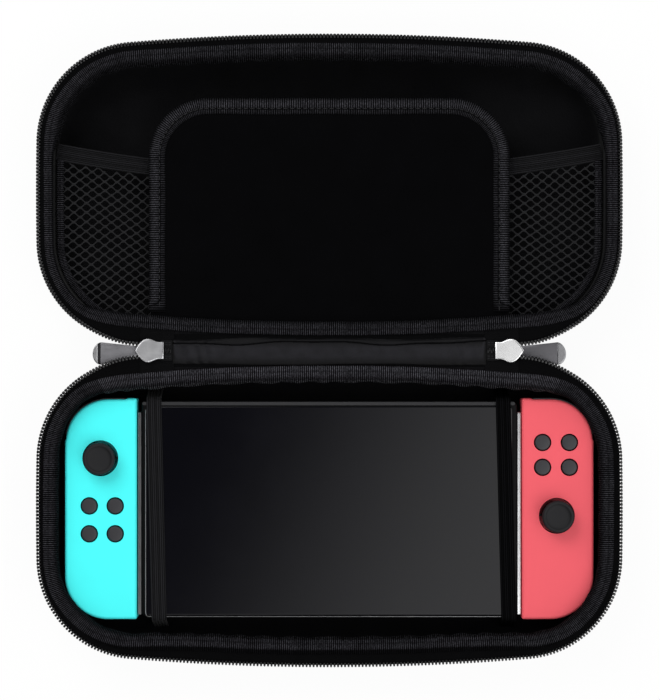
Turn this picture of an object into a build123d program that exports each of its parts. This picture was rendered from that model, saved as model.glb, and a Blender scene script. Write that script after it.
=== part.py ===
from build123d import *
from math import atan, degrees, hypot, sqrt
import os

# A zip-round hard case that lies open and flat, with a handheld console strapped into its tray.
# The origin is on the floor under the middle of the spine. X runs along the spine, +Y points to the lid,
# -Y to the tray and +Z up. All sizes are in millimetres.

# Rim of one half, seen from above: eight tangent arcs, so that every edge is a little convex.
RIM_HALF_LENGTH = 133.0
RIM_HALF_WIDTH = 71.8
LONG_EDGE_RADIUS = 1100.0
SHORT_EDGE_RADIUS = 1500.0
RIM_CORNER_RADIUS = 46.0

# Heights of the rim's layers above the floor.
RIM_TOP = 25.0
BINDING_THICKNESS = 1.2
TAPE_THICKNESS = 0.8
TAPE_TOP = RIM_TOP - BINDING_THICKNESS
SHELL_TOP = TAPE_TOP - TAPE_THICKNESS

# Insets of the rim's layers from the zip's outline.
COIL_WIDTH = 2.0
COIL_HALF_HEIGHT = 0.9
SHELL_INSET = 4.6
WALL_THICKNESS = 3.2
WALL_INSET = SHELL_INSET + WALL_THICKNESS
BINDING_INSET = 4.5
BINDING_INNER = 10.5
BINDING_LEG_INSET = 8.05
BINDING_LEG_BOTTOM = 18.4

# Moulded shells.
FLOOR_TOP = 4.0
OUTER_DRAFT = 4.0
INNER_DRAFT = 3.0
BOTTOM_BEVEL = 7.4
EASED_BEVEL = 2.6

# Spine and zip.
SPINE_HALF_LENGTH = 71.0
SPINE_HALF_WIDTH = 7.5
SPINE_THICKNESS = 0.7
ZIP_MOUTH_X = 88.6
SLIDER_REAR_X = 75.0
SLIDER_TIP_X = 88.0
SLIDER_BULGE_X = 82.0
SLIDER_REAR_HALF_WIDTH = 3.85
SLIDER_BULGE_HALF_WIDTH = 5.35
SLIDER_TOP = RIM_TOP + 0.3
SLIDER_PLATE = 1.0
SLIDER_GAP = 2.5
SLIDER_FLANGE = 1.0
SLIDER_BOTTOM = SLIDER_TOP - 2 * SLIDER_PLATE - SLIDER_GAP
BAIL_HALF_WIDTH = 1.1
BAIL_HEIGHT = 3.4
BAIL_LENGTH = 7.2
TAB_PIVOT_X = 82.6
TAB_PIVOT_Z = SLIDER_BOTTOM - 1.3
TAB_END_X = 107.6
TAB_THICKNESS = 1.1
TAB_BAR_RADIUS = 0.65

# Net pocket of the lid.
NET_BOTTOM = 17.0
NET_TOP = 17.6
HEM_EDGE_Y = 82.4
HEM_CURVE_RADIUS = 650.0
HEM_WIDTH = 7.7
NET_PITCH_X = 12.0
NET_PITCH_Y = 9.6
NET_STRAND = 1.1

# Padded divider of the lid.
FLAP_HALF_LENGTH = 82.0
FLAP_REAR_Y = 14.5
FLAP_FRONT_Y = 114.7
FLAP_CORNER_RADIUS = 27.0
FLAP_BINDING_WIDTH = 7.7
FLAP_BINDING_BOTTOM = 18.9
FLAP_BINDING_TOP = 23.1
FLAP_PANEL_BOTTOM = 19.3
FLAP_PANEL_TOP = 22.7
FLAP_EDGE = 0.8

# Console: the tablet part.
CONSOLE_BOTTOM = FLOOR_TOP
CONSOLE_TOP = 18.0
TABLET_HALF_LENGTH = 85.6
TABLET_REAR_Y = -23.2
TABLET_FRONT_Y = -121.4
TABLET_MID_Y = (TABLET_REAR_Y + TABLET_FRONT_Y) / 2
TABLET_WIDTH = TABLET_REAR_Y - TABLET_FRONT_Y
TABLET_WALL = 1.5
TABLET_SPLIT_Z = 11.0
GLASS_THICKNESS = 1.4
GLASS_HALF_LENGTH = 83.3
GLASS_EDGE = 1.0
RAIL_THICKNESS = 1.6

# Console: the controllers, with the outer corners rounded.
GRIP_INNER_X = TABLET_HALF_LENGTH + RAIL_THICKNESS
GRIP_OUTER_X = 120.5
GRIP_REAR_Y = -21.8
GRIP_FRONT_Y = -122.5
GRIP_CORNER_RADIUS = 19.5
GRIP_SPLIT_Z = 10.0
GRIP_EDGE_CHAMFER = 1.0
BUTTON_RADIUS = 3.6
BUTTON_GAP = 0.15
BUTTON_TOP = 18.9
BUTTON_BOTTOM = 14.7
BUTTON_WELL_BOTTOM = 13.5
LEFT_BUTTONS = [(-109.3, -70.8), (-97.5, -70.8), (-109.3, -83.5), (-97.5, -83.5)]
RIGHT_BUTTONS = [(97.1, -41.9), (109.3, -41.9), (97.1, -53.2), (109.3, -53.2)]
LEFT_STICK = (-104.3, -49.1)
RIGHT_STICK = (103.6, -75.3)
STICK_PIVOT_Z = 12.0
STICK_WELL_RADIUS = 8.2
STICK_CAP_RADIUS = 7.3
STICK_CAP_BOTTOM = 22.2
STICK_TOP = 25.8
STICK_NECK_RADIUS = 2.2
GIMBAL_HALF = 4.0
GIMBAL_WALL = 1.2
GIMBAL_HALF_HEIGHT = 0.8
BAR_HALF = 0.5
BAR_GAP = 0.25
BAR_REACH = 7.5
STICK_DISH_RADIUS = 5.6
STICK_DISH_DEPTH = 0.5
STICK_POST_X = 6.0
SHOULDER_THICKNESS = 2.2
SHOULDER_TRAVEL_ROOM = 2.2
SHOULDER_INNER_X = 93.0
SHOULDER_LOWEST_Y = -38.0
SHOULDER_BOTTOM = 10.4
SHOULDER_TOP = 16.2
TRIGGER_BOTTOM = 5.0
TRIGGER_TOP = 9.6

# Elastic bands over the console: middle line at the two ends, width and thickness.
BAND_WIDTH = 6.8
BAND_THICKNESS = 0.8
BAND_REAR_X = 79.1
BAND_LEFT_FRONT_X = -76.7
BAND_RIGHT_FRONT_X = 81.7
BAND_SPREAD = 4.5


def mirrored_x(points):
    """Return the points reflected in the YZ plane."""
    return [(-x, y) for x, y in points]


def rim_corner_centre():
    """Return the centre of the rim's corner arc, tangent to a long and a short edge arc."""
    long_centre = Vector(0, RIM_HALF_WIDTH - LONG_EDGE_RADIUS)
    short_centre = Vector(RIM_HALF_LENGTH - SHORT_EDGE_RADIUS, 0)
    reach_long = LONG_EDGE_RADIUS - RIM_CORNER_RADIUS
    reach_short = SHORT_EDGE_RADIUS - RIM_CORNER_RADIUS
    span = (short_centre - long_centre).length
    along = (reach_long**2 - reach_short**2 + span**2) / (2 * span)
    across = sqrt(reach_long**2 - along**2)
    direction = (short_centre - long_centre) / span
    return long_centre + direction * along + Vector(direction.Y, -direction.X) * across


CORNER_CENTRE = rim_corner_centre()


def rim_outline(inset):
    """Return the rim's outline as a face about the origin, moved inwards by the inset."""
    long_way = (CORNER_CENTRE - Vector(0, RIM_HALF_WIDTH - LONG_EDGE_RADIUS)).normalized()
    short_way = (CORNER_CENTRE - Vector(RIM_HALF_LENGTH - SHORT_EDGE_RADIUS, 0)).normalized()
    radius = RIM_CORNER_RADIUS - inset
    start = CORNER_CENTRE + long_way * radius
    middle = CORNER_CENTRE + (long_way + short_way).normalized() * radius
    end = CORNER_CENTRE + short_way * radius
    far_x = RIM_HALF_LENGTH - inset
    far_y = RIM_HALF_WIDTH - inset
    quarter = [
        ThreePointArc((0, far_y), ((start.X / 2), long_edge_y(start.X / 2, inset)), (start.X, start.Y)),
        ThreePointArc((start.X, start.Y), (middle.X, middle.Y), (end.X, end.Y)),
        ThreePointArc((end.X, end.Y), (short_edge_x(end.Y / 2, inset), end.Y / 2), (far_x, 0)),
    ]
    half = quarter + [mirror(edge, about=Plane.XZ) for edge in quarter]
    return make_face(half + [mirror(edge, about=Plane.YZ) for edge in half])


def long_edge_y(x, inset):
    """Return the height of the long edge arc at x, for an outline about the origin."""
    return RIM_HALF_WIDTH - LONG_EDGE_RADIUS + sqrt((LONG_EDGE_RADIUS - inset) ** 2 - x**2)


def short_edge_x(y, inset):
    """Return the reach of the short edge arc at y, for an outline about the origin."""
    return RIM_HALF_LENGTH - SHORT_EDGE_RADIUS + sqrt((SHORT_EDGE_RADIUS - inset) ** 2 - y**2)


def inside_rim(x, y, inset):
    """Tell whether a point, seen from the middle of a half, lies inside the inset outline."""
    over_x = abs(x) - CORNER_CENTRE.X
    over_y = abs(y) - CORNER_CENTRE.Y
    if over_x > 0 and over_y > 0:
        return hypot(over_x, over_y) < RIM_CORNER_RADIUS - inset
    return abs(x) < short_edge_x(y, inset) and abs(y) < long_edge_y(x, inset)


def tray_ring(outer_inset, inner_inset, low, high):
    """Return a band that follows the tray half's rim between two insets and two heights."""
    face = rim_outline(outer_inset) - rim_outline(inner_inset)
    return Pos(0, -RIM_HALF_WIDTH, low) * extrude(face, amount=high - low)


def drafted_block(inset, bottom, draft):
    """Return a block that hangs from the shell's top edge and narrows by the draft towards its bottom."""
    top = Pos(0, -RIM_HALF_WIDTH, SHELL_TOP) * rim_outline(inset)
    return extrude(top, amount=SHELL_TOP - bottom, dir=(0, 0, -1), taper=draft)


def box_between(x_range, y_range, z_range):
    """Return a box from its three coordinate ranges."""
    low = (x_range[0], y_range[0], z_range[0])
    size = (x_range[1] - x_range[0], y_range[1] - y_range[0], z_range[1] - z_range[0])
    return Pos(*low) * Box(*size, align=(Align.MIN, Align.MIN, Align.MIN))


def to_lid(shape):
    """Return the lid's counterpart of a tray piece, reflected across the spine."""
    return mirror(shape, about=Plane.XZ)


def to_left(shape):
    """Return the left counterpart of a right-hand piece."""
    return mirror(shape, about=Plane.YZ)


def moulded_shell():
    """Return the tray: a drafted block, its bottom edge eased in three bevels, hollowed from above."""
    outer = drafted_block(SHELL_INSET, 0, OUTER_DRAFT)
    outer = chamfer(outer.edges().group_by(Axis.Z)[0], BOTTOM_BEVEL)
    eased = outer.edges().group_by(Axis.Z)[0] + outer.edges().filter_by(Plane.XY).group_by(Axis.Z)[1]
    return chamfer(eased, EASED_BEVEL) - drafted_block(WALL_INSET, FLOOR_TOP, INNER_DRAFT)


def rim_binding():
    """Return the binding: a leg that lies over the zip tape and one that hangs down the inner wall."""
    over = tray_ring(BINDING_INSET, BINDING_INNER, TAPE_TOP, RIM_TOP)
    return over + tray_ring(BINDING_LEG_INSET, BINDING_INNER, BINDING_LEG_BOTTOM, TAPE_TOP)


def open_at_spine(ring):
    """Cut a ring open between the two slider mouths on the spine's side."""
    return ring - box_between((-ZIP_MOUTH_X, ZIP_MOUTH_X), (-25, 1), (0, RIM_TOP + 1))


def zip_tape():
    """Return the woven tape that carries the teeth, held between shell and binding."""
    return open_at_spine(tray_ring(COIL_WIDTH, WALL_INSET, SHELL_TOP, TAPE_TOP))


def zip_coil():
    """Return the row of teeth on the tape's edge, as one band."""
    middle = (SHELL_TOP + TAPE_TOP) / 2
    return open_at_spine(tray_ring(0, COIL_WIDTH, middle - COIL_HALF_HEIGHT, middle + COIL_HALF_HEIGHT))


def hinge_strip():
    """Return the flexible spine, a strip laid over the top edges of both shells."""
    return box_between(
        (-SPINE_HALF_LENGTH, SPINE_HALF_LENGTH),
        (-SPINE_HALF_WIDTH, SPINE_HALF_WIDTH),
        (SHELL_TOP, SHELL_TOP + SPINE_THICKNESS),
    )


def slider_outline(inset):
    """Return the shield outline of a slider plate, moved inwards: square at the rear, pointed at the mouth."""
    rear_half = SLIDER_REAR_HALF_WIDTH - inset
    bulge_half = SLIDER_BULGE_HALF_WIDTH - inset
    rear_x = SLIDER_REAR_X + inset
    upper = [
        Line((rear_x, 0), (rear_x, rear_half)),
        Line((rear_x, rear_half), (SLIDER_REAR_X + 2.2, rear_half)),
        Line((SLIDER_REAR_X + 2.2, rear_half), (SLIDER_BULGE_X, bulge_half)),
        ThreePointArc(
            (SLIDER_BULGE_X, bulge_half),
            (SLIDER_BULGE_X + 4.3 - 1.2 * inset, bulge_half * 0.55),
            (SLIDER_TIP_X - 1.8 * inset, 0),
        ),
    ]
    return make_face(upper + [mirror(edge, about=Plane.XZ) for edge in upper])


def slider():
    """Return the right slider: two plates with turned-in flanges, the wedge between them and the bail."""
    outline = slider_outline(0)
    low = SLIDER_BOTTOM + SLIDER_PLATE
    high = SLIDER_TOP - SLIDER_PLATE
    body = Pos(0, 0, SLIDER_BOTTOM) * extrude(outline, amount=SLIDER_TOP - SLIDER_BOTTOM)
    body -= Pos(0, 0, low) * extrude(slider_outline(SLIDER_FLANGE), amount=SLIDER_GAP)
    body -= box_between((SLIDER_REAR_X - 1, SLIDER_REAR_X + 2), (-2.6, 2.6), (low, high))
    body -= box_between((SLIDER_BULGE_X + 1.5, SLIDER_TIP_X + 1), (-7, 7), (low, high))
    body -= box_between((SLIDER_REAR_X - 1, SLIDER_TIP_X), (-7, 7), (low + 0.5, high - 0.5))
    middle_x = SLIDER_BULGE_X + 3.0
    wedge_outline = make_face(
        Polyline((middle_x - 2.4, 0), (middle_x, 1.7), (middle_x + 2.4, 0), (middle_x, -1.7), close=True)
    )
    return body + Pos(0, 0, low) * extrude(wedge_outline, amount=SLIDER_GAP) + bail()


def bail():
    """Return the arch under the slider that holds the pull tab, drawn from the side and given its width."""
    middle_x = TAB_PIVOT_X - 1.4
    low = SLIDER_BOTTOM - BAIL_HEIGHT
    outer = Pos(middle_x, SLIDER_BOTTOM - BAIL_HEIGHT / 2) * Rectangle(BAIL_LENGTH, BAIL_HEIGHT)
    outer = fillet(outer.vertices().group_by(Axis.Y)[0], 1.6)
    inner = Pos(middle_x, (low + 1.0 + SLIDER_BOTTOM) / 2) * Rectangle(BAIL_LENGTH - 2, BAIL_HEIGHT - 1.0)
    side_view = Plane.XZ * (outer - inner)
    return extrude(side_view, amount=BAIL_HALF_WIDTH, both=True)


def pull_tab():
    """Return the right pull tab: a bar through the bail, two arms, a flaring plate and a rolled end."""
    start_x = TAB_PIVOT_X - TAB_BAR_RADIUS
    shoulder_x = TAB_PIVOT_X + 6.0
    flare_x = TAB_END_X - 3.2
    upper = [
        Line((start_x, 0), (start_x, 2.25)),
        Line((start_x, 2.25), (shoulder_x, 2.4)),
        Line((shoulder_x, 2.4), (flare_x, 5.1)),
        ThreePointArc((flare_x, 5.1), (TAB_END_X - 0.7, 3.6), (TAB_END_X, 0)),
    ]
    outline = make_face(upper + [mirror(edge, about=Plane.XZ) for edge in upper])
    low = TAB_PIVOT_Z - TAB_THICKNESS / 2
    plate = Pos(0, 0, low) * extrude(outline, amount=TAB_THICKNESS)
    window = box_between((TAB_PIVOT_X + TAB_BAR_RADIUS, TAB_PIVOT_X + 5.4), (-1.5, 1.5), (low - 1, low + 3))
    rolled = Pos(0, 0, low - 0.5) * extrude(outline, amount=TAB_THICKNESS + 1.0)
    rolled &= box_between((TAB_END_X - 5.4, TAB_END_X + 1), (-8, 8), (0, RIM_TOP))
    return plate - window + rolled


def chain_end():
    """Return the closed end of the tooth chain, which leaves the right slider towards the spine."""
    middle = (SHELL_TOP + TAPE_TOP) / 2
    end_x = SLIDER_REAR_X + 1.5
    teeth = box_between((SPINE_HALF_LENGTH, end_x), (-2, 2), (middle - 0.9, middle + 0.9))
    tape = box_between((SPINE_HALF_LENGTH, end_x), (-4.8, 4.8), (middle - 0.3, middle + 0.3))
    return teeth + tape


def lid_region(inset):
    """Return the lid half's inset outline as a face."""
    return Pos(0, RIM_HALF_WIDTH) * rim_outline(inset)


def hem_disc(radius):
    """Return a large disc in front of the net, whose rim gives the net's curved front edge."""
    return Pos(0, HEM_EDGE_Y + HEM_CURVE_RADIUS) * Circle(radius)


def net_holes():
    """Return the diamond openings of the net in the two wings beside the divider."""
    diamond = Polygon(
        (NET_PITCH_X / 2 - NET_STRAND, 0),
        (0, NET_PITCH_Y / 2 - NET_STRAND),
        (NET_STRAND - NET_PITCH_X / 2, 0),
        (0, NET_STRAND - NET_PITCH_Y / 2),
        align=None,
    )
    first_x = FLAP_HALF_LENGTH + 0.75 * NET_PITCH_X
    holes = []
    for row in range(40):
        y = (row + 1) * NET_PITCH_Y / 2
        for step in range(6):
            x = first_x + (step + (row % 2) / 2) * NET_PITCH_X
            below_hem = hypot(x, y - HEM_EDGE_Y - HEM_CURVE_RADIUS) > HEM_CURVE_RADIUS + HEM_WIDTH + 4.0
            if below_hem and inside_rim(x, y - RIM_HALF_WIDTH, WALL_INSET + 6.5):
                holes += [Pos(x, y) * diamond, Pos(-x, y) * diamond]
    return holes


def net_pocket():
    """Return the net: a sheet from wall to wall, closed behind the divider and open-meshed beside it."""
    sheet = lid_region(WALL_INSET + 0.34) - hem_disc(HEM_CURVE_RADIUS + HEM_WIDTH)
    return Pos(0, 0, NET_BOTTOM) * extrude(sheet - net_holes(), amount=NET_TOP - NET_BOTTOM)


def net_hem():
    """Return the elastic hem along the net's curved front edge."""
    band = hem_disc(HEM_CURVE_RADIUS + HEM_WIDTH) - hem_disc(HEM_CURVE_RADIUS)
    return Pos(0, 0, NET_BOTTOM - 0.2) * extrude(band & lid_region(WALL_INSET + 0.33), amount=1.4)


def net_edging():
    """Return the tape that edges the net along the wall, from hem to hem round the spine's side."""
    ring = lid_region(WALL_INSET + 0.31) - lid_region(WALL_INSET + 3.2)
    return Pos(0, 0, NET_TOP) * extrude(ring - hem_disc(HEM_CURVE_RADIUS + HEM_WIDTH), amount=0.75)


def flap_outline(inset):
    """Return the divider's outline, square at the fold and rounded at the front, moved inwards."""
    front = FLAP_FRONT_Y - inset
    side = FLAP_HALF_LENGTH - inset
    blank = Pos(0, (FLAP_REAR_Y + front) / 2) * Rectangle(2 * side, front - FLAP_REAR_Y)
    return fillet(blank.vertices().group_by(Axis.Y)[-1], FLAP_CORNER_RADIUS - inset)


def flap_panel():
    """Return the divider's padded board."""
    height = FLAP_PANEL_TOP - FLAP_PANEL_BOTTOM
    return Pos(0, 0, FLAP_PANEL_BOTTOM) * extrude(flap_outline(FLAP_EDGE), amount=height)


def flap_binding():
    """Return the binding that wraps the divider's sides and front edge, with the board's slot in it."""
    face = flap_outline(0) - flap_outline(FLAP_BINDING_WIDTH)
    height = FLAP_BINDING_TOP - FLAP_BINDING_BOTTOM
    return Pos(0, 0, FLAP_BINDING_BOTTOM) * extrude(face, amount=height) - flap_panel()


def flap_fold():
    """Return the cloth hinge between the lid's inner binding and the divider."""
    reach = Pos(0, (FLAP_REAR_Y + 4) / 2) * Rectangle(2 * FLAP_HALF_LENGTH - 8, FLAP_REAR_Y - 4)
    strip = reach & lid_region(BINDING_INNER)
    return Pos(0, 0, FLAP_PANEL_TOP - 0.8) * extrude(strip, amount=0.8)


def elastic_band(rear_x, front_x):
    """Return a band that rises from the tray floor, lies over the console and goes down at the front."""
    over_top = CONSOLE_TOP + BAND_THICKNESS
    rear_top = TABLET_REAR_Y + 1.0
    front_top = TABLET_FRONT_Y - 1.0
    profile = Polyline(
        (rear_top + BAND_SPREAD, FLOOR_TOP),
        (rear_top, CONSOLE_TOP),
        (front_top, CONSOLE_TOP),
        (front_top - BAND_SPREAD, FLOOR_TOP),
        (front_top - BAND_SPREAD - BAND_THICKNESS, FLOOR_TOP),
        (front_top - BAND_THICKNESS, over_top),
        (rear_top + BAND_THICKNESS, over_top),
        (rear_top + BAND_SPREAD + BAND_THICKNESS, FLOOR_TOP),
        close=True,
    )
    lean = (rear_x - front_x) / (rear_top - front_top)
    side_view = Plane.YZ * make_face(profile)
    straight = extrude(side_view, amount=BAND_WIDTH / 2, both=True)
    angle = -degrees(atan(lean))
    return Pos((rear_x + front_x) / 2, TABLET_MID_Y, 0) * Rot(0, 0, angle) * Pos(0, -TABLET_MID_Y, 0) * straight


def tablet_block(inset, low, high):
    """Return a block of the tablet's outline, moved inwards, between two heights."""
    size = (2 * (TABLET_HALF_LENGTH - inset), TABLET_WIDTH - 2 * inset, high - low)
    return Pos(0, TABLET_MID_Y, (low + high) / 2) * Box(*size)


def console_rear_cover():
    """Return the tablet's rear cover, a shallow tray with rounded bottom edges."""
    outer = tablet_block(0, CONSOLE_BOTTOM, TABLET_SPLIT_Z)
    bottom_edges = outer.edges().group_by(Axis.Z)[0].filter_by(Axis.X)
    outer = fillet(bottom_edges, 2.0)
    return outer - tablet_block(TABLET_WALL, CONSOLE_BOTTOM + TABLET_WALL, TABLET_SPLIT_Z)


def console_front_frame():
    """Return the tablet's front frame, a tray that holds the display and the glass."""
    outer = tablet_block(0, TABLET_SPLIT_Z, CONSOLE_TOP)
    outer = chamfer(outer.edges().group_by(Axis.Z)[-1].filter_by(Axis.X), 0.5)
    room = tablet_block(3.5, TABLET_SPLIT_Z + 1.2, CONSOLE_TOP - GLASS_THICKNESS)
    return outer - room - screen_glass()


def screen_glass():
    """Return the cover glass, flush with the frame."""
    size = (2 * GLASS_HALF_LENGTH, TABLET_WIDTH - 2 * GLASS_EDGE, GLASS_THICKNESS)
    return Pos(0, TABLET_MID_Y, CONSOLE_TOP - GLASS_THICKNESS / 2) * Box(*size)


def display_panel():
    """Return the display, which fills the frame under the glass."""
    return tablet_block(3.5, TABLET_SPLIT_Z + 1.2, CONSOLE_TOP - GLASS_THICKNESS)


def main_board():
    """Return the main circuit board, which lies in the rear cover beside the battery."""
    low = CONSOLE_BOTTOM + TABLET_WALL
    board = box_between((2, 78), (TABLET_FRONT_Y + 6, TABLET_REAR_Y - 4), (low, low + 1.6))
    notch = box_between((1, 36), (TABLET_FRONT_Y + 5, TABLET_FRONT_Y + 34), (low - 1, low + 3))
    return board - notch


def battery_pack():
    """Return the flat battery pack in the rear cover."""
    low = CONSOLE_BOTTOM + TABLET_WALL
    return box_between((-76, -4), (TABLET_FRONT_Y + 8, TABLET_REAR_Y - 30), (low, low + 4.2))


def cooling_fan():
    """Return the cooling fan's square housing, set on the cover in the board's notch."""
    low = CONSOLE_BOTTOM + TABLET_WALL
    return box_between((5, 31), (TABLET_FRONT_Y + 6, TABLET_FRONT_Y + 32), (low, low + 4.6))


def side_rail():
    """Return the right metal rail that the controller slides on."""
    along = (TABLET_FRONT_Y + 1.0, TABLET_REAR_Y - 5.0)
    return box_between((TABLET_HALF_LENGTH, GRIP_INNER_X), along, (6.0, 17.2))


def grip_outline(inset):
    """Return the right controller's outline, straight on the inside and rounded on the outside."""
    outer = GRIP_OUTER_X - inset
    rear = GRIP_REAR_Y - inset
    front = GRIP_FRONT_Y + inset
    place = Pos((GRIP_INNER_X + outer) / 2, (rear + front) / 2)
    blank = place * Rectangle(outer - GRIP_INNER_X, rear - front)
    return fillet(blank.vertices().group_by(Axis.X)[-1], GRIP_CORNER_RADIUS - inset)


def shoulder_room(low, high):
    """Return the cut in the shells behind a shoulder button, deeper by the button's travel."""
    spare = 0.3
    zone = box_between(
        (SHOULDER_INNER_X - spare, GRIP_OUTER_X + 1),
        (SHOULDER_LOWEST_Y - SHOULDER_TRAVEL_ROOM, GRIP_REAR_Y + 1),
        (low - spare, high + spare),
    )
    kept = extrude(grip_outline(SHOULDER_THICKNESS + SHOULDER_TRAVEL_ROOM), amount=30)
    return zone - kept


def shoulder_piece(low, high):
    """Return the right shoulder button or trigger, a curved strip of the controller's outer edge."""
    strip = extrude(grip_outline(0) - grip_outline(SHOULDER_THICKNESS), amount=30)
    zone = box_between(
        (SHOULDER_INNER_X, GRIP_OUTER_X + 1), (SHOULDER_LOWEST_Y, GRIP_REAR_Y + 1), (low, high)
    )
    return strip & zone


def stick_well(x, y):
    """Return the round well of a stick, open at the front face and as deep as the shell's split."""
    depth = CONSOLE_TOP - GRIP_SPLIT_Z
    return Pos(x, y, GRIP_SPLIT_Z + depth / 2) * Cylinder(STICK_WELL_RADIUS, depth)


def stick_posts(x, y):
    """Return the two bearing posts in a stick's well, slotted from above for the gimbal's bars."""
    reach = STICK_WELL_RADIUS + 0.5
    block = box_between((-reach, reach), (-1.6, 1.6), (GRIP_SPLIT_Z, STICK_PIVOT_Z + 1.3))
    block -= box_between((-STICK_POST_X, STICK_POST_X), (-3, 3), (0, CONSOLE_TOP))
    slot = BAR_HALF + BAR_GAP
    block -= box_between((-BAR_REACH, BAR_REACH), (-slot, slot), (STICK_PIVOT_Z - slot, CONSOLE_TOP))
    return Pos(x, y, 0) * block


def grip_front_shell(buttons, stick):
    """Return a controller's front shell in right-hand form, with button wells, stick well and cuts."""
    body = Pos(0, 0, GRIP_SPLIT_Z) * extrude(grip_outline(0), amount=CONSOLE_TOP - GRIP_SPLIT_Z)
    face_edges = body.edges().group_by(Axis.Z)[-1].sort_by(Axis.X)[1:]
    body = chamfer(face_edges, GRIP_EDGE_CHAMFER)
    body -= shoulder_room(SHOULDER_BOTTOM, SHOULDER_TOP)
    depth = CONSOLE_TOP - BUTTON_WELL_BOTTOM
    for x, y in buttons:
        body -= Pos(x, y, BUTTON_WELL_BOTTOM + depth / 2) * Cylinder(BUTTON_RADIUS + BUTTON_GAP, depth)
    body -= stick_well(*stick)
    return body + stick_posts(*stick)


def grip_rear_shell():
    """Return a controller's rear shell in right-hand form, with the trigger's cut."""
    body = Pos(0, 0, CONSOLE_BOTTOM) * extrude(grip_outline(0), amount=GRIP_SPLIT_Z - CONSOLE_BOTTOM)
    return body - shoulder_room(TRIGGER_BOTTOM, TRIGGER_TOP)


def face_button(x, y):
    """Return a round face button."""
    height = BUTTON_TOP - BUTTON_BOTTOM
    return Pos(x, y, BUTTON_BOTTOM + height / 2) * Cylinder(BUTTON_RADIUS, height)


def stick(x, y):
    """Return a stick: a dished round cap on a neck, with a square cross bar through its foot."""
    cap_height = STICK_TOP - STICK_CAP_BOTTOM
    foot = STICK_PIVOT_Z - 1.0
    cap = Pos(0, 0, STICK_CAP_BOTTOM + cap_height / 2) * Cylinder(STICK_CAP_RADIUS, cap_height)
    cap -= Pos(0, 0, STICK_TOP) * Cylinder(STICK_DISH_RADIUS, 2 * STICK_DISH_DEPTH)
    neck = Pos(0, 0, (foot + STICK_CAP_BOTTOM) / 2) * Cylinder(STICK_NECK_RADIUS, STICK_CAP_BOTTOM - foot)
    bar = Pos(0, 0, STICK_PIVOT_Z) * Box(2 * BAR_HALF, 2 * GIMBAL_HALF, 2 * BAR_HALF)
    return Pos(x, y, 0) * (cap + neck + bar)


def stick_gimbal(x, y):
    """Return the square ring round a stick's foot, slotted for its cross bar, with two bars of its own."""
    inner = GIMBAL_HALF - GIMBAL_WALL
    height = 2 * GIMBAL_HALF_HEIGHT
    ring = Box(2 * GIMBAL_HALF, 2 * GIMBAL_HALF, height) + Box(2 * BAR_REACH, 2 * BAR_HALF, 2 * BAR_HALF)
    ring -= Box(2 * inner, 2 * inner, height)
    slot = BAR_HALF + BAR_GAP
    ring -= box_between((-slot, slot), (-GIMBAL_HALF - 1, GIMBAL_HALF + 1), (-slot, height))
    return Pos(x, y, STICK_PIVOT_Z) * ring


def case_pieces():
    """Return the case's pieces by node name."""
    pieces = {
        "base_shell": moulded_shell(),
        "base_binding": rim_binding(),
        "base_zip_tape": zip_tape(),
        "base_zip_coil": zip_coil(),
    }
    for name in list(pieces):
        pieces[name.replace("base", "lid")] = to_lid(pieces[name])
    pieces["hinge_strip"] = hinge_strip()
    for name, shape in (("slider", slider()), ("pull_tab", pull_tab()), ("chain_end", chain_end())):
        pieces[name + "_right"] = shape
        pieces[name + "_left"] = to_left(shape)
    pieces["mesh_pocket"] = net_pocket()
    pieces["mesh_hem"] = net_hem()
    pieces["mesh_edging"] = net_edging()
    pieces["flap_panel"] = flap_panel()
    pieces["flap_binding"] = flap_binding()
    pieces["flap_fold"] = flap_fold()
    pieces["strap_left"] = elastic_band(-BAND_REAR_X, BAND_LEFT_FRONT_X)
    pieces["strap_right"] = elastic_band(BAND_REAR_X, BAND_RIGHT_FRONT_X)
    return pieces


def console_pieces():
    """Return the console's pieces by node name."""
    rail = side_rail()
    pieces = {
        "console_rear_cover": console_rear_cover(),
        "console_front_frame": console_front_frame(),
        "screen_glass": screen_glass(),
        "display_panel": display_panel(),
        "main_board": main_board(),
        "battery_pack": battery_pack(),
        "cooling_fan": cooling_fan(),
        "rail_right": rail,
        "rail_left": to_left(rail),
    }
    left_stick = (-LEFT_STICK[0], LEFT_STICK[1])
    pieces["right_front_shell"] = grip_front_shell(RIGHT_BUTTONS, RIGHT_STICK)
    pieces["left_front_shell"] = to_left(grip_front_shell(mirrored_x(LEFT_BUTTONS), left_stick))
    rear = grip_rear_shell()
    shoulder = shoulder_piece(SHOULDER_BOTTOM, SHOULDER_TOP)
    trigger = shoulder_piece(TRIGGER_BOTTOM, TRIGGER_TOP)
    for name, shape in (("rear_shell", rear), ("shoulder_button", shoulder), ("trigger", trigger)):
        pieces["right_" + name] = shape
        pieces["left_" + name] = to_left(shape)
    for side, buttons, place in (("left", LEFT_BUTTONS, LEFT_STICK), ("right", RIGHT_BUTTONS, RIGHT_STICK)):
        for number, spot in enumerate(buttons, start=1):
            pieces[f"{side}_button_{number}"] = face_button(*spot)
        pieces[side + "_stick"] = stick(*place)
        pieces[side + "_stick_gimbal"] = stick_gimbal(*place)
    return pieces


os.makedirs("parts", exist_ok=True)
for node, solid in {**case_pieces(), **console_pieces()}.items():
    export_step(solid, f"parts/{node}.step")
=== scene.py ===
"""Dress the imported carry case: zip, bindings, net pocket, padded divider, straps and the console in the tray.

Lengths in this file are millimetres until a mesh is written, and metres from there on. X runs along the spine,
+Y points to the lid, -Y to the tray and +Z up.
"""

import logging
import math
from dataclasses import dataclass
from enum import Enum
from functools import cache
from typing import Callable, Optional, Sequence

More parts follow.
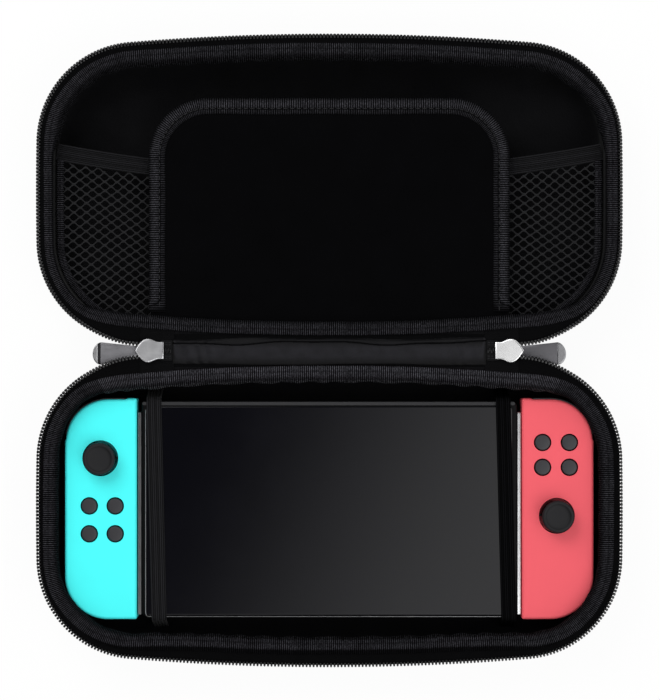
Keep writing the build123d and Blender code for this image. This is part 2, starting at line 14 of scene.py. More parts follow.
import bpy
import numpy as np
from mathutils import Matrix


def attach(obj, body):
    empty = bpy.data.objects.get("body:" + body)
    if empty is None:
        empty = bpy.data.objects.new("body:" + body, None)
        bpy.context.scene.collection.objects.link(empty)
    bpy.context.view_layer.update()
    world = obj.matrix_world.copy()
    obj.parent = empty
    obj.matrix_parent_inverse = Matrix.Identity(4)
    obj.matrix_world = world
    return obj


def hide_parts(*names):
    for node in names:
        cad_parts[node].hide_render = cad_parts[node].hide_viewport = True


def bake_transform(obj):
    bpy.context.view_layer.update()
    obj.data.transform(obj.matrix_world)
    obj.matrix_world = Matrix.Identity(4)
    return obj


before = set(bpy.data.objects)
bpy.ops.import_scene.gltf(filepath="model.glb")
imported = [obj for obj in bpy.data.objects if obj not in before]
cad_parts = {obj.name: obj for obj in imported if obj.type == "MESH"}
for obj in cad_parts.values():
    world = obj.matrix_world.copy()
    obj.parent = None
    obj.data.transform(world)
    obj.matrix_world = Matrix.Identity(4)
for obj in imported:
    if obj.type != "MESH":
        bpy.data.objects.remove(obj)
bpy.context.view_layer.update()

LOG = logging.getLogger("carry_case")
MM = 0.001
Array = np.ndarray
Colour = tuple[float, float, float]
Pairs = tuple[tuple[float, float], ...]
Socket = bpy.types.NodeSocket
Piece = bpy.types.Object


class Half(Enum):
    """One half of the case; the value is the sign of Y on its side of the spine."""

    BASE = -1
    LID = 1

    @property
    def body(self) -> str:
        """Return the name of the body that carries this half."""
        return "base" if self is Half.BASE else "lid"


class Side(Enum):
    """The left or right side, seen from above; the value is the sign of X."""

    LEFT = -1
    RIGHT = 1

    @property
    def word(self) -> str:
        """Return the side's name as the node names use it."""
        return self.name.lower()


class Coordinate(Enum):
    """Where a pattern reads its place: in the solid, or along the surface's own lengths."""

    SOLID = "Object"
    SURFACE = "UV"


class Graph:
    """A material's node tree, with short calls that add and join nodes."""

    def __init__(self, name: str, coordinate: Coordinate) -> None:
        """Start a tree with a principled shader.

        Args:
            name: The material's name.
            coordinate: Where its patterns read their place.
        """
        self.material = bpy.data.materials.new(name)
        self.material.use_nodes = True
        self.tree = self.material.node_tree
        self.tree.nodes.clear()
        self.shader = self.add("ShaderNodeBsdfPrincipled")
        output = self.add("ShaderNodeOutputMaterial")
        self.tree.links.new(self.shader.outputs["BSDF"], output.inputs["Surface"])
        self.place = self.add("ShaderNodeTexCoord").outputs[coordinate.value]

    def add(self, kind: str, **settings: object) -> bpy.types.Node:
        """Add a node.

        Args:
            kind: Its type name.
            **settings: Attributes to set on it.

        Returns:
            The node.
        """
        node = self.tree.nodes.new(kind)
        for key, value in settings.items():
            setattr(node, key, value)
        return node

    def join(self, source: Socket, node: bpy.types.Node, socket: str) -> None:
        """Join an output to a named input."""
        self.tree.links.new(source, node.inputs[socket])

    def set(self, **values: object) -> None:
        """Set constant values on the shader's own sockets; underscores stand for spaces."""
        for key, value in values.items():
            self.shader.inputs[key.replace("_", " ")].default_value = value

    def stretched(self, scale: Sequence[float], turn: float = 0.0) -> Socket:
        """Return the place scaled along each axis and turned about Z.

        Args:
            scale: Factor for each axis.
            turn: Angle about Z in radians.

        Returns:
            The mapped vector.
        """
        node = self.add("ShaderNodeMapping")
        node.inputs["Scale"].default_value = scale
        node.inputs["Rotation"].default_value = (0.0, 0.0, turn)
        self.join(self.place, node, "Vector")
        return node.outputs["Vector"]

    def noise(self, size: float, detail: float = 2.0, place: Optional[Socket] = None) -> Socket:
        """Return soft noise.

        Args:
            size: Width of its spots in millimetres.
            detail: Number of finer layers.
            place: Vector to read, or None for the tree's own.

        Returns:
            The noise value.
        """
        node = self.add("ShaderNodeTexNoise")
        node.inputs["Scale"].default_value = 1.0 / (size * MM)
        node.inputs["Detail"].default_value = detail
        self.join(place or self.place, node, "Vector")
        return node.outputs["Fac"]

    def wave(self, pitch: float, direction: str, wander: float = 0.0,
             place: Optional[Socket] = None) -> Socket:
        """Return parallel ridges, lowest at zero and highest at half a pitch.

        Args:
            pitch: Distance between ridges in millimetres.
            direction: Axis across the ridges.
            wander: How far the ridges stray.
            place: Vector to read, or None for the tree's own.

        Returns:
            The ridge height from 0 to 1.
        """
        node = self.add("ShaderNodeTexWave", bands_direction=direction)
        node.inputs["Scale"].default_value = 2.0 * math.pi / (20.0 * pitch * MM)
        node.inputs["Distortion"].default_value = wander
        self.join(place or self.place, node, "Vector")
        return node.outputs["Fac"]

    def cells(self, size: float) -> Socket:
        """Return the distance to the middle of irregular cells, each size millimetres wide."""
        node = self.add("ShaderNodeTexVoronoi", feature="F1")
        node.inputs["Scale"].default_value = 1.0 / (size * MM)
        self.join(self.place, node, "Vector")
        return node.outputs["Distance"]

    def banded(self, stops: Sequence[tuple[float, float]]) -> Socket:
        """Return a level that changes across the surface, with the second texture length.

        Args:
            stops: Rows of distance in millimetres and level from 0 to 1, with straight runs between them.

        Returns:
            The level.
        """
        reach = stops[-1][0]
        parts = self.add("ShaderNodeSeparateXYZ")
        self.join(self.place, parts, "Vector")
        ramp = self.add("ShaderNodeValToRGB")
        marks = ramp.color_ramp.elements
        for mark, (_, level) in zip(marks, (stops[0], stops[-1])):
            mark.color = (level, level, level, 1.0)
        for place, level in stops[1:-1]:
            marks.new(place / reach).color = (level, level, level, 1.0)
        self.join(self.calc("MULTIPLY", parts.outputs["Y"], 1.0 / (reach * MM)), ramp, "Fac")
        return ramp.outputs["Color"]

    def calc(self, operation: str, first: Socket, second: object) -> Socket:
        """Return a sum on two values.

        Args:
            operation: The math node's operation.
            first: First value.
            second: Second value, a socket or a number.

        Returns:
            The result.
        """
        node = self.add("ShaderNodeMath", operation=operation)
        self.tree.links.new(first, node.inputs[0])
        if isinstance(second, (int, float)):
            node.inputs[1].default_value = second
        else:
            self.tree.links.new(second, node.inputs[1])
        return node.outputs[0]

    def sharpened(self, value: Socket, low: float, high: float) -> Socket:
        """Return the value spread from low and high to 0 and 1, eased at both ends."""
        node = self.add("ShaderNodeMapRange", interpolation_type="SMOOTHSTEP")
        node.inputs["From Min"].default_value = low
        node.inputs["From Max"].default_value = high
        self.join(value, node, "Value")
        return node.outputs["Result"]

    def mixed(self, first: Socket, second: Socket, share: float) -> Socket:
        """Return first times (1 - share) plus second times share."""
        return self.calc("ADD", self.calc("MULTIPLY", first, 1.0 - share), self.calc("MULTIPLY", second, share))

    def tone(self, value: Socket, colour: Colour, dark: float, light: float) -> None:
        """Colour the shader by a value, from colour times dark at 0 to colour times light at 1.

        Args:
            value: The pattern.
            colour: Middle colour.
            dark: Factor at the low end.
            light: Factor at the high end.
        """
        ramp = self.add("ShaderNodeValToRGB")
        for stop, factor in zip(ramp.color_ramp.elements, (dark, light)):
            stop.color = tuple(min(1.0, part * factor) for part in colour) + (1.0,)
        self.join(value, ramp, "Fac")
        self.join(ramp.outputs["Color"], self.shader, "Base Color")

    def rough(self, value: Socket, low: float, high: float) -> None:
        """Spread the shader's roughness over a value, from low at 0 to high at 1."""
        node = self.add("ShaderNodeMapRange")
        node.inputs["To Min"].default_value = low
        node.inputs["To Max"].default_value = high
        self.join(value, node, "Value")
        self.join(node.outputs["Result"], self.shader, "Roughness")

    def bump(self, height: Socket, depth: float, strength: float) -> None:
        """Raise the surface by a height pattern, after any bump already there.

        Args:
            height: The pattern.
            depth: Depth in millimetres.
            strength: Share of the effect.
        """
        node = self.add("ShaderNodeBump")
        node.inputs["Strength"].default_value = strength
        node.inputs["Distance"].default_value = depth * MM
        self.join(height, node, "Height")
        earlier = self.shader.inputs["Normal"].links
        if earlier:
            self.join(earlier[0].from_socket, node, "Normal")
        self.join(node.outputs["Normal"], self.shader, "Normal")


@dataclass(frozen=True)
class Finish:
    """A finish: a colour, a gloss and a pattern at the scale of the real thing."""

    name: str
    colour: Colour
    roughness: float = 0.8
    specular: float = 0.2
    sheen: float = 0.0
    coordinate: Coordinate = Coordinate.SOLID

    @cache
    def material(self) -> bpy.types.Material:
        """Return the finish's material, made the first time it is asked for."""
        graph = Graph(self.name, self.coordinate)
        graph.set(Roughness=self.roughness, Specular_IOR_Level=self.specular)
        if self.sheen:
            graph.set(Sheen_Weight=self.sheen, Sheen_Roughness=0.5)
        self.pattern(graph)
        return graph.material

    def pattern(self, graph: Graph) -> None:
        """Colour the tree with faint spots; finishes with a structure of their own replace this."""
        spots = graph.noise(1.5, 3.0)
        graph.tone(spots, self.colour, 0.85, 1.15)
        graph.bump(graph.noise(0.35, 2.0), 0.02, 0.4)


@dataclass(frozen=True)
class RibbedTape(Finish):
    """Corded tape: ribs across its length, with painted highlights on the crowns and painted shade in the valleys,
    loose fibres and a sewn groove.

    Its stops of distance and level give the painted light across the tape: a highlight along the crest and
    shade at the edges and in the sewn groove.
    """

    pitch: float = 0.95
    fuzz: float = 0.6
    painted_shading: Pairs = (
        (0.0, 0.1), (0.5, 0.7), (1.0, 1.0), (2.4, 0.95), (3.1, 0.5), (3.7, 0.95), (4.9, 0.85), (6.2, 0.4),
        (12.0, 0.3))
    coordinate: Coordinate = Coordinate.SURFACE

    def pattern(self, graph: Graph) -> None:
        """Paint highlights on crowns where single threads catch light, and shade that leaves valleys nearly black.

        The threads are noise drawn out along the ribs; fuzz is the share by which they break a rib up.
        """
        rib = graph.wave(self.pitch, "X", 0.15)
        thread = graph.sharpened(graph.noise(1.0, 2.0, graph.stretched((1.6, 0.9, 1.0))), 0.34, 0.66)
        patch = graph.sharpened(graph.noise(6.0, 2.0), -0.3, 0.8)
        broken = graph.calc("ADD", graph.calc("MULTIPLY", thread, self.fuzz), 1.0 - self.fuzz)
        # Painted light: highlights on the crest and rib crowns, shade at the edges, groove and valleys.
        lit = graph.calc("MULTIPLY", graph.calc("MULTIPLY", broken, patch), graph.banded(self.painted_shading))
        graph.tone(graph.calc("MULTIPLY", graph.calc("POWER", rib, 2.0), lit), self.colour, 0.15, 12.0)
        graph.bump(rib, 0.15, 0.7)
        graph.bump(thread, 0.06, 0.5)


@dataclass(frozen=True)
class Weave(Finish):
    """Plain woven cloth: threads that cross, each a ridge."""

    pitch: float = 0.5
    dark: float = 0.5
    light: float = 1.6
    turn: float = 38.0

    def pattern(self, graph: Graph) -> None:
        """Cross two sets of threads, turned a little so that walls carry them too."""
        solid = self.coordinate is Coordinate.SOLID
        place = graph.stretched((1.0, 1.0, 1.0), math.radians(self.turn)) if solid else None
        over = graph.wave(self.pitch, "X", 0.3, place)
        under = graph.wave(self.pitch, "Y", 0.3, place)
        cloth = graph.calc("MULTIPLY", over, under)
        pattern = graph.mixed(cloth, graph.noise(6.0, 3.0), 0.35)
        graph.tone(pattern, self.colour, self.dark, self.light)
        graph.bump(cloth, 0.1, 0.8)


@dataclass(frozen=True)
class Pile(Finish):
    """Short pile or fleece: dark, with brushed patches and single pale fibres."""

    fibre: float = 0.3
    light: float = 1.7

    def pattern(self, graph: Graph) -> None:
        """Mix fine fibres with brushed patches."""
        fibre = graph.noise(self.fibre, 3.0)
        brushed = graph.noise(14.0, 3.0)
        graph.tone(graph.mixed(fibre, brushed, 0.4), self.colour, 0.3, self.light)
        graph.bump(fibre, 0.15, 0.7)


@dataclass(frozen=True)
class Leather(Finish):
    """Coated cloth: fine pebble grain, with polish that comes and goes."""

    def pattern(self, graph: Graph) -> None:
        """Raise pebbles, and vary tone and polish in patches."""
        patch = graph.noise(5.0, 3.0)
        graph.tone(patch, self.colour, 0.75, 1.25)
        graph.rough(patch, self.roughness - 0.1, self.roughness + 0.12)
        graph.bump(graph.cells(0.7), 0.05, 0.5)


@dataclass(frozen=True)
class LeatherWithPaintedShade(Leather):
    """Coated cloth with painted shade towards its seams; the stops give how much, by the distance across it."""

    painted_shading: Pairs = (
        (0.0, 0.0), (1.25, 0.05), (2.15, 0.2), (3.1, 0.42), (4.0, 0.68), (4.9, 0.92), (5.6, 1.0), (8.6, 1.0),
        (10.6, 0.45), (11.3, 0.28), (15.0, 0.22))
    coordinate: Coordinate = Coordinate.SURFACE

    def pattern(self, graph: Graph) -> None:
        """Raise pebbles, paint shade towards the seams, and vary tone and polish in patches."""
        patch = graph.noise(5.0, 3.0)
        # Painted shade: the level falls towards the seams.
        level = graph.calc("MULTIPLY", graph.banded(self.painted_shading), graph.sharpened(patch, -0.5, 1.0))
        graph.tone(level, self.colour, 0.1, 1.32)
        graph.rough(patch, self.roughness - 0.1, self.roughness + 0.12)
        graph.bump(graph.cells(0.7), 0.05, 0.5)


@dataclass(frozen=True)
class Metal(Finish):
    """Cast or rolled metal: fine brushing along X, with tarnish in soft patches."""

    streak: float = 6.0

    def pattern(self, graph: Graph) -> None:
        """Stretch noise into brush lines for tone, polish and bump."""
        graph.set(Metallic=1.0)
        brush = graph.noise(1.0, 3.0, graph.stretched((1.0 / self.streak, 6.0, 6.0)))
        patch = graph.mixed(brush, graph.noise(3.0, 2.0), 0.5)
        graph.tone(patch, self.colour, 0.8, 1.2)
        graph.rough(patch, self.roughness - 0.1, self.roughness + 0.1)
        graph.bump(brush, 0.006, 0.5)


@dataclass(frozen=True)
class Moulded(Finish):
    """Moulded plastic: spark-eroded grain and a little unevenness in tone."""

    grain: float = 0.3
    depth: float = 0.012

    def pattern(self, graph: Graph) -> None:
        """Add grain as bump and a slow drift in tone and polish."""
        drift = graph.noise(18.0, 2.0)
        graph.tone(drift, self.colour, 0.96, 1.04)
        graph.rough(drift, self.roughness - 0.04, self.roughness + 0.04)
        graph.bump(graph.noise(self.grain, 2.0), self.depth, 0.6)


@dataclass(frozen=True)
class Screen(Finish):
    """Dark cover glass with faint smears."""

    def pattern(self, graph: Graph) -> None:
        """Vary the polish with smears."""
        smear = graph.noise(22.0, 3.0)
        graph.tone(smear, self.colour, 0.8, 1.2)
        graph.rough(smear, self.roughness, self.roughness + 0.06)


@dataclass(frozen=True)
class Elastic(Finish):
    """Knitted elastic: cords along its length and fine loops across."""

    pitch: float = 1.1
    coordinate: Coordinate = Coordinate.SURFACE

    def pattern(self, graph: Graph) -> None:
        """Paint highlights on the cords' crowns and shade between them, and add loops across them."""
        cord = graph.wave(self.pitch, "Y", 0.2)
        loop = graph.wave(0.55, "X", 0.6)
        pattern = graph.mixed(graph.mixed(cord, loop, 0.25), graph.noise(4.0, 2.0), 0.15)
        # Painted light: lighter cord crowns, darker hollows between them.
        graph.tone(graph.sharpened(pattern, 0.1, 0.9), self.colour, 0.1, 2.2)
        graph.bump(loop, 0.06, 0.7)


# Corded tapes: their stops paint a highlight along the crest and shade at the edges and in the grooves.
BINDING = RibbedTape("ribbed_binding", (0.0052, 0.0051, 0.0059), 0.9, 0.02)
# A lighter copy of the binding for the tray beside the spine: painted light.
BINDING_PAINTED_LIT = RibbedTape("ribbed_binding_painted_lit", (0.0092, 0.009, 0.0104), 0.9, 0.02)
BINDING_EDGE = RibbedTape("ribbed_binding_edge", (0.0055, 0.0055, 0.0062), 0.9, 0.02, fuzz=0.95,
                          painted_shading=((0.0, 0.5), (12.0, 0.5)))
# A lighter copy of the binding's skirt for the tray beside the spine: painted light.
BINDING_SKIRT_PAINTED_LIT = RibbedTape("ribbed_binding_skirt", (0.017, 0.0168, 0.0186), 0.9, 0.02, fuzz=0.95,
                           painted_shading=((0.0, 0.5), (12.0, 0.5)))
DIVIDER_TAPE = RibbedTape(
    "ribbed_divider_tape", (0.0066, 0.0065, 0.0075), 0.9, 0.02, pitch=1.03,
    painted_shading=((0.0, 0.05), (0.7, 0.4), (1.9, 0.5), (2.4, 0.1), (2.9, 0.1), (3.5, 0.9), (5.0, 1.0), (6.4, 0.75),
           (7.4, 0.35), (8.2, 0.2), (10.0, 0.6)))
TAPE = Weave("zip_tape_weave", (0.0017, 0.0017, 0.002), 0.9, 0.05, coordinate=Coordinate.SURFACE, pitch=0.45)
ZIP_END = Weave("zip_end_weave", (0.003, 0.003, 0.0034), 0.9, 0.05, pitch=0.6)
NYLON = Moulded("zip_nylon", (0.003, 0.003, 0.0035), 0.35, 0.5)
OUTER = Leather("shell_outer_cloth", (0.008, 0.008, 0.009), 0.75, 0.15, 0.1)
LINING = Pile("shell_lining", (0.0026, 0.0026, 0.0029), 0.95, 0.02, 0.03, fibre=0.8, light=3.0)
SPINE = LeatherWithPaintedShade("coated_spine_cloth", (0.0108, 0.0106, 0.013), 0.55, 0.12)
PATCH = Weave("stitched_patch", (0.005, 0.005, 0.0055), 0.85, 0.1, pitch=0.6)
VELVET = Pile("divider_velvet", (0.0011, 0.0011, 0.0014), 0.95, 0.02, 0.03)
THREAD = Moulded("sewing_thread", (0.014, 0.014, 0.0155), 0.6, 0.2)
YARN = Moulded("net_yarn", (0.0096, 0.0096, 0.0107), 0.7, 0.15, 0.05, grain=0.2, depth=0.03)
ELASTIC = Elastic("ribbed_elastic", (0.0058, 0.0058, 0.0066), 0.8, 0.06, 0.04)
STRAP_LEFT = Elastic("ribbed_strap_pale", (0.0076, 0.0076, 0.0086), 0.8, 0.06, 0.04)
STRAP_RIGHT = Elastic("ribbed_strap_dark", (0.0018, 0.0018, 0.0021), 0.9, 0.03)
SLIDER_LEFT = Metal("slider_satin", (0.55, 0.55, 0.565), 0.38, 0.5)
SLIDER_RIGHT = Metal("slider_bright", (0.98, 0.98, 0.985), 0.27, 0.5)
TAB_LEFT = Metal("pull_tab_satin", (0.33, 0.326, 0.345), 0.4, 0.5, streak=12.0)
TAB_RIGHT = Metal("pull_tab_dark", (0.13, 0.128, 0.137), 0.4, 0.5, streak=12.0)
# Lighter lip metals are painted highlights; the groove metal is a painted shadow inside the left lip.
TAB_LIP_PAINTED_HIGHLIGHT = Metal("pull_tab_end", (0.5, 0.5, 0.51), 0.35, 0.5)
TAB_EDGE_PAINTED_HIGHLIGHT = Metal("pull_tab_edge", (0.27, 0.27, 0.28), 0.35, 0.5)
TAB_PAINTED_SHADOW = Metal("pull_tab_painted_shadow", (0.035, 0.035, 0.037), 0.5, 0.5)
CONSOLE = Moulded("console_shell", (0.003, 0.003, 0.0034), 0.5, 0.08)
# Bars that stand in for the console frame's edge highlights: painted highlights.
REAR_EDGE_HIGHLIGHT = Moulded("console_rear_edge_highlight", (0.03, 0.03, 0.032), 0.5, 0.15)
FRAME_EDGE_HIGHLIGHT = Metal("console_frame_edge_highlight", (0.3, 0.3, 0.31), 0.3, 0.5, streak=30.0)
GLASS = Screen("dark_cover_glass", (0.0006, 0.0006, 0.0022), 0.05, 0.5)
# One rail metal in a darker and a lighter copy: painted shade and painted light.
RAIL_PAINTED_SHADE = Metal("rail_metal_painted_shade", (0.24, 0.24, 0.25), 0.35, 0.5, streak=20.0)
RAIL_PAINTED_LIT = Metal("rail_metal_painted_lit", (0.72, 0.72, 0.73), 0.3, 0.5, streak=20.0)
CYAN = Moulded("cyan_shell", (0.066, 0.96, 0.96), 0.6, 0.25)
CORAL = Moulded("coral_shell", (0.84, 0.108, 0.135), 0.6, 0.25)
BUTTON = Moulded("face_button_plastic", (0.031, 0.0305, 0.0345), 0.45, 0.35)
RUBBER = Moulded("thumb_rubber", (0.0098, 0.0098, 0.0112), 0.65, 0.25, grain=0.2, depth=0.02)
INNER = Moulded("inner_plastic", (0.03, 0.03, 0.031), 0.6, 0.3)
BOARD = Weave("board_lacquer", (0.02, 0.12, 0.05), 0.4, 0.4, pitch=1.2, dark=0.8, light=1.2)
WRAP = Moulded("battery_wrap", (0.1, 0.1, 0.11), 0.5, 0.3)


@dataclass
class Patch:
    """A grid of points, or several copies of one, that becomes part of a mesh.

    points is copies x rows x columns x 3. along and across give each row's and column's texture distance and
    have one entry more where the grid wraps; across and slots, the finish of each cell, may have a row for each
    row of the grid. Caps close the first and last row, or column, with a fan.
    """

    points: Array
    along: Optional[Array] = None
    across: Optional[Array] = None
    wrap_rows: bool = False
    wrap_cols: bool = False
    cap_rows: bool = False
    cap_cols: bool = False
    slots: Array | int = 0


def spans(count: int, wrap: bool) -> tuple[Array, Array, Array]:
    """Return the start, end and unwrapped end of each step along one side of a grid.

    Args:
        count: Number of points on that side.
        wrap: Whether the last point joins the first.

    Returns:
        Start indices, end indices, and end indices that run on past the last point.
    """
    start = np.arange(count if wrap else count - 1)
    return start, (start + 1) % count, start + 1


class MeshMaker:
    """Collects patches and writes them as one mesh object."""

    def __init__(self, name: str, *finishes: Finish) -> None:
        """Start an empty mesh.

        Args:
            name: The object's name.
            *finishes: Its finishes, in slot order.
        """
        self.name = name
        self.finishes = finishes
        self.count = 0
        self.points: list[Array] = []
        self.loops: list[Array] = []
        self.sizes: list[Array] = []
        self.uvs: list[Array] = []
        self.slots: list[Array] = []

    def add(self, patch: Patch) -> "MeshMaker":
        """Add a patch, turned so that a closed one faces outwards.

        Every cell of the grid is a quad from row r to r + 1 and column c to c + 1; a closed patch whose volume
        comes out negative has its faces turned round.

        Args:
            patch: The grid to add.

        Returns:
            The maker itself.
        """
        grid = patch.points if patch.points.ndim == 4 else patch.points[None]
        copies, rows, cols = grid.shape[:3]
        along = np.arange(rows + 1.0) * MM if patch.along is None else np.asarray(patch.along) * MM
        across = np.arange(cols + 1.0) * MM if patch.across is None else np.asarray(patch.across) * MM
        row, row_end, row_on = spans(rows, patch.wrap_rows)
        col, col_end, col_on = spans(cols, patch.wrap_cols)
        r0, c0 = (part.ravel() for part in np.meshgrid(row, col, indexing="ij"))
        r1, c1 = (part.ravel() for part in np.meshgrid(row_end, col_end, indexing="ij"))
        u1, v1 = (part.ravel() for part in np.meshgrid(row_on, col_on, indexing="ij"))
        quads = np.stack([r0 * cols + c0, r1 * cols + c0, r1 * cols + c1, r0 * cols + c1], 1)
        across = np.broadcast_to(across, (rows, across.shape[-1]))
        uv = np.stack([along[[r0, u1, u1, r0]].T, across[[r0, r1, r1, r0], [c0, c0, v1, v1]].T], 2)
        slot_grid = np.broadcast_to(patch.slots, (rows, cols))
        slots = slot_grid[r0, c0]
        flat = grid.reshape(copies, rows * cols, 3)
        fans, centres, fan_uv = self.caps(patch, grid)
        if fans is not None:
            flat = np.concatenate([flat, centres], 1)
        if self.volume(flat[0], quads, fans) < 0.0:
            quads, uv = quads[:, ::-1], uv[:, ::-1]
            fans, fan_uv = (None, None) if fans is None else (fans[:, ::-1], fan_uv[:, ::-1])
        shift = self.count + np.arange(copies)[:, None, None] * flat.shape[1]
        self.take((quads[None] + shift).reshape(-1, 4), np.tile(uv, (copies, 1, 1)), np.tile(slots, copies))
        if fans is not None:
            ends = np.repeat([slot_grid[0, 0], slot_grid[-1, -1]], len(fans) // 2)
            self.take((fans[None] + shift).reshape(-1, 3), np.tile(fan_uv, (copies, 1, 1)),
                      np.tile(ends, copies))
        self.points.append(flat.reshape(-1, 3))
        self.count += copies * flat.shape[1]
        return self

    @staticmethod
    def caps(patch: Patch, grid: Array) -> tuple:
        """Work out the fans that close a grid's open ends.

        Args:
            patch: The patch.
            grid: Its points with the copies' axis.

        Returns:
            Triangles, centre points and texture places, or three times None.
        """
        rows, cols = grid.shape[1:3]
        if patch.cap_rows:
            step, after, _ = spans(cols, True)
            first, first_on = step, after
            last, last_on = (rows - 1) * cols + step, (rows - 1) * cols + after
            rings = grid[:, 0], grid[:, -1]
        elif patch.cap_cols:
            step, after, _ = spans(rows, True)
            first, first_on = after * cols, step * cols
            last, last_on = after * cols + cols - 1, step * cols + cols - 1
            rings = grid[:, :, 0], grid[:, :, -1]
        else:
            return None, None, None
        middle = np.full(len(step), rows * cols)
        fans = np.concatenate([
            np.stack([first, first_on, middle], 1),
            np.stack([last_on, last, middle + 1], 1),
        ])
        centres = np.stack([ring.mean(1) for ring in rings], 1)
        flat = np.concatenate([grid[0].reshape(-1, 3), centres[0]])[:, :2] * MM
        return fans, centres, flat[fans]

    @staticmethod
    def volume(points: Array, quads: Array, fans: Optional[Array]) -> float:
        """Return six times the signed volume under the faces, each quad cut into two triangles."""
        tris = np.concatenate([quads[:, :3], quads[:, [0, 2, 3]]] + ([] if fans is None else [fans]))
        corner = (points - points.mean(0))[tris]
        return float(np.einsum("ij,ij->", corner[:, 0], np.cross(corner[:, 1], corner[:, 2])))

    def take(self, faces: Array, uv: Array, slots: Array) -> None:
        """Keep faces of one size with their texture places and slots."""
        self.loops.append(faces.ravel())
        self.sizes.append(np.full(len(faces), faces.shape[1]))
        self.uvs.append(uv.reshape(-1, 2))
        self.slots.append(slots)

    def build(self, sharp: float = 40.0) -> Piece:
        """Write the mesh and its object.

        Args:
            sharp: Edges steeper than this angle, in degrees, stay sharp.

        Returns:
            The object, at the origin.
        """
        mesh = bpy.data.meshes.new(self.name)
        loops, sizes = np.concatenate(self.loops), np.concatenate(self.sizes)
        points = np.concatenate(self.points) * MM
        mesh.vertices.add(len(points))
        mesh.vertices.foreach_set("co", points.astype(np.float32).ravel())
        mesh.loops.add(len(loops))
        mesh.loops.foreach_set("vertex_index", loops.astype(np.int32))
        mesh.polygons.add(len(sizes))
        mesh.polygons.foreach_set("loop_start", np.concatenate([[0], np.cumsum(sizes)[:-1]]).astype(np.int32))
        mesh.polygons.foreach_set("material_index", np.concatenate(self.slots).astype(np.int32))
        for finish in self.finishes:
            mesh.materials.append(finish.material())
        layer = mesh.uv_layers.new(name="lengths")
        layer.data.foreach_set("uv", np.concatenate(self.uvs).astype(np.float32).ravel())
        mesh.update(calc_edges=True)
        mesh.validate()
        mesh.shade_smooth()
        mesh.set_sharp_from_angle(angle=math.radians(sharp))
        piece = bpy.data.objects.new(self.name, mesh)
        bpy.context.scene.collection.objects.link(piece)
        return piece


def settle(piece: Piece, body: Optional[str], slot: str, *nodes: str) -> Piece:
    """Hang a piece on its body and let it stand for CAD nodes.

    Args:
        piece: The finished object.
        body: The body it rides on, or None for a piece that rides on none.
        slot: The record's material slot; not used.
        *nodes: CAD nodes it replaces.

    Returns:
        The piece.
    """
    if body:
        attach(piece, body)
    if nodes:
        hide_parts(*nodes)
    LOG.info("%s: %d faces on %s", piece.name, len(piece.data.polygons), body)
    return piece


def ease(value: Array, start: float, end: float) -> Array:
    """Return 0 before start and 1 after end, with the smooth step 3t^2 - 2t^3 between them."""
    part = np.clip((value - start) / (end - start), 0.0, 1.0)
    return part * part * (3.0 - 2.0 * part)


def distances(points: Array, wrap: bool = False) -> Array:
    """Return the running length along points, with the closing length added when they wrap."""
    path = np.concatenate([points, points[:1]]) if wrap else points
    steps = np.linalg.norm(np.diff(path, axis=0), axis=1)
    return np.concatenate([[0.0], np.cumsum(steps)])


def profile_normals(profile: Array) -> Array:
    """Return the unit normal at each point of a closed profile, pointing out of it.

    The normal is the chord between a point's neighbours turned by a right angle, to the side that the profile's
    signed area gives as outside.
    """
    chord = np.roll(profile, -1, 0) - np.roll(profile, 1, 0)
    x, y = profile.T
    turn = np.sign(np.sum(x * np.roll(y, -1) - np.roll(x, -1) * y))
    normal = np.stack([chord[:, 1], -chord[:, 0]], 1) * turn
    return normal / np.maximum(np.linalg.norm(normal, axis=1, keepdims=True), 1e-9)


def edge_levels(low: float, high: float, low_round: float, high_round: float, steps: int = 5) -> Array:
    """Return inset and height of the rows of an upright wall with rounded edges.

    Each edge is a quarter circle: inset = r (1 - cos t), height = r (1 - sin t) from the edge.

    Args:
        low: Height of the bottom.
        high: Height of the top.
        low_round: Radius of the bottom edge.
        high_round: Radius of the top edge.
        steps: Rows in each edge.

    Returns:
        Rows of inset and height, from the bottom up.
    """
    turn = np.linspace(0.0, math.pi / 2, steps)
    bottom = np.stack([low_round * (1 - np.sin(turn)), low + low_round * (1 - np.cos(turn))], 1)
    top = np.stack([high_round * (1 - np.cos(turn)), high - high_round * (1 - np.sin(turn))], 1)
    return np.concatenate([bottom, top])


def rounded_box(low: Sequence[float], high: Sequence[float], radii: Sequence[float], inset: float,
                arc: int) -> Array:
    """Return the outline of a rectangle with rounded corners, moved inwards.

    Each corner is an arc about a fixed centre whose radius shrinks by the inset.

    Args:
        low: Lowest x and y.
        high: Highest x and y.
        radii: Corner radii from the high x, high y corner anticlockwise.
        inset: How far the outline moves in.
        arc: Points on each corner.

    Returns:
        The outline's points.
    """
    turn = np.linspace(0.0, math.pi / 2, arc)
    corners = []
    for index, (sign_x, sign_y) in enumerate(((1, 1), (-1, 1), (-1, -1), (1, -1))):
        radius = radii[index]
        x = (high[0] if sign_x > 0 else low[0]) - sign_x * radius
        y = (high[1] if sign_y > 0 else low[1]) - sign_y * radius
        angle = turn + index * math.pi / 2
        reach = radius - inset
        corners.append(np.stack([x + reach * np.cos(angle), y + reach * np.sin(angle)], 1))
    return np.concatenate(corners)


def loft(outline: Callable[[float], Array], levels: Array, shrink: Sequence[float] = ()) -> Patch:
    """Return a solid made of one outline at several insets and heights, closed above and below.

    Args:
        outline: Gives the outline's points for an inset.
        levels: Rows of inset and height.
        shrink: Factors of further flat rings inside the last row, towards its centre.

    Returns:
        The closed patch.
    """
    rings = [np.column_stack([outline(inset), np.full(len(outline(inset)), z)]) for inset, z in levels]
    centre = rings[-1].mean(0)
    rings += [centre + (rings[-1] - centre) * factor for factor in shrink]
    grid = np.stack(rings)
    across = distances(grid[len(levels) // 2], True)
    return Patch(grid, along=distances(grid[:, 0]), across=across, wrap_cols=True, cap_rows=True)


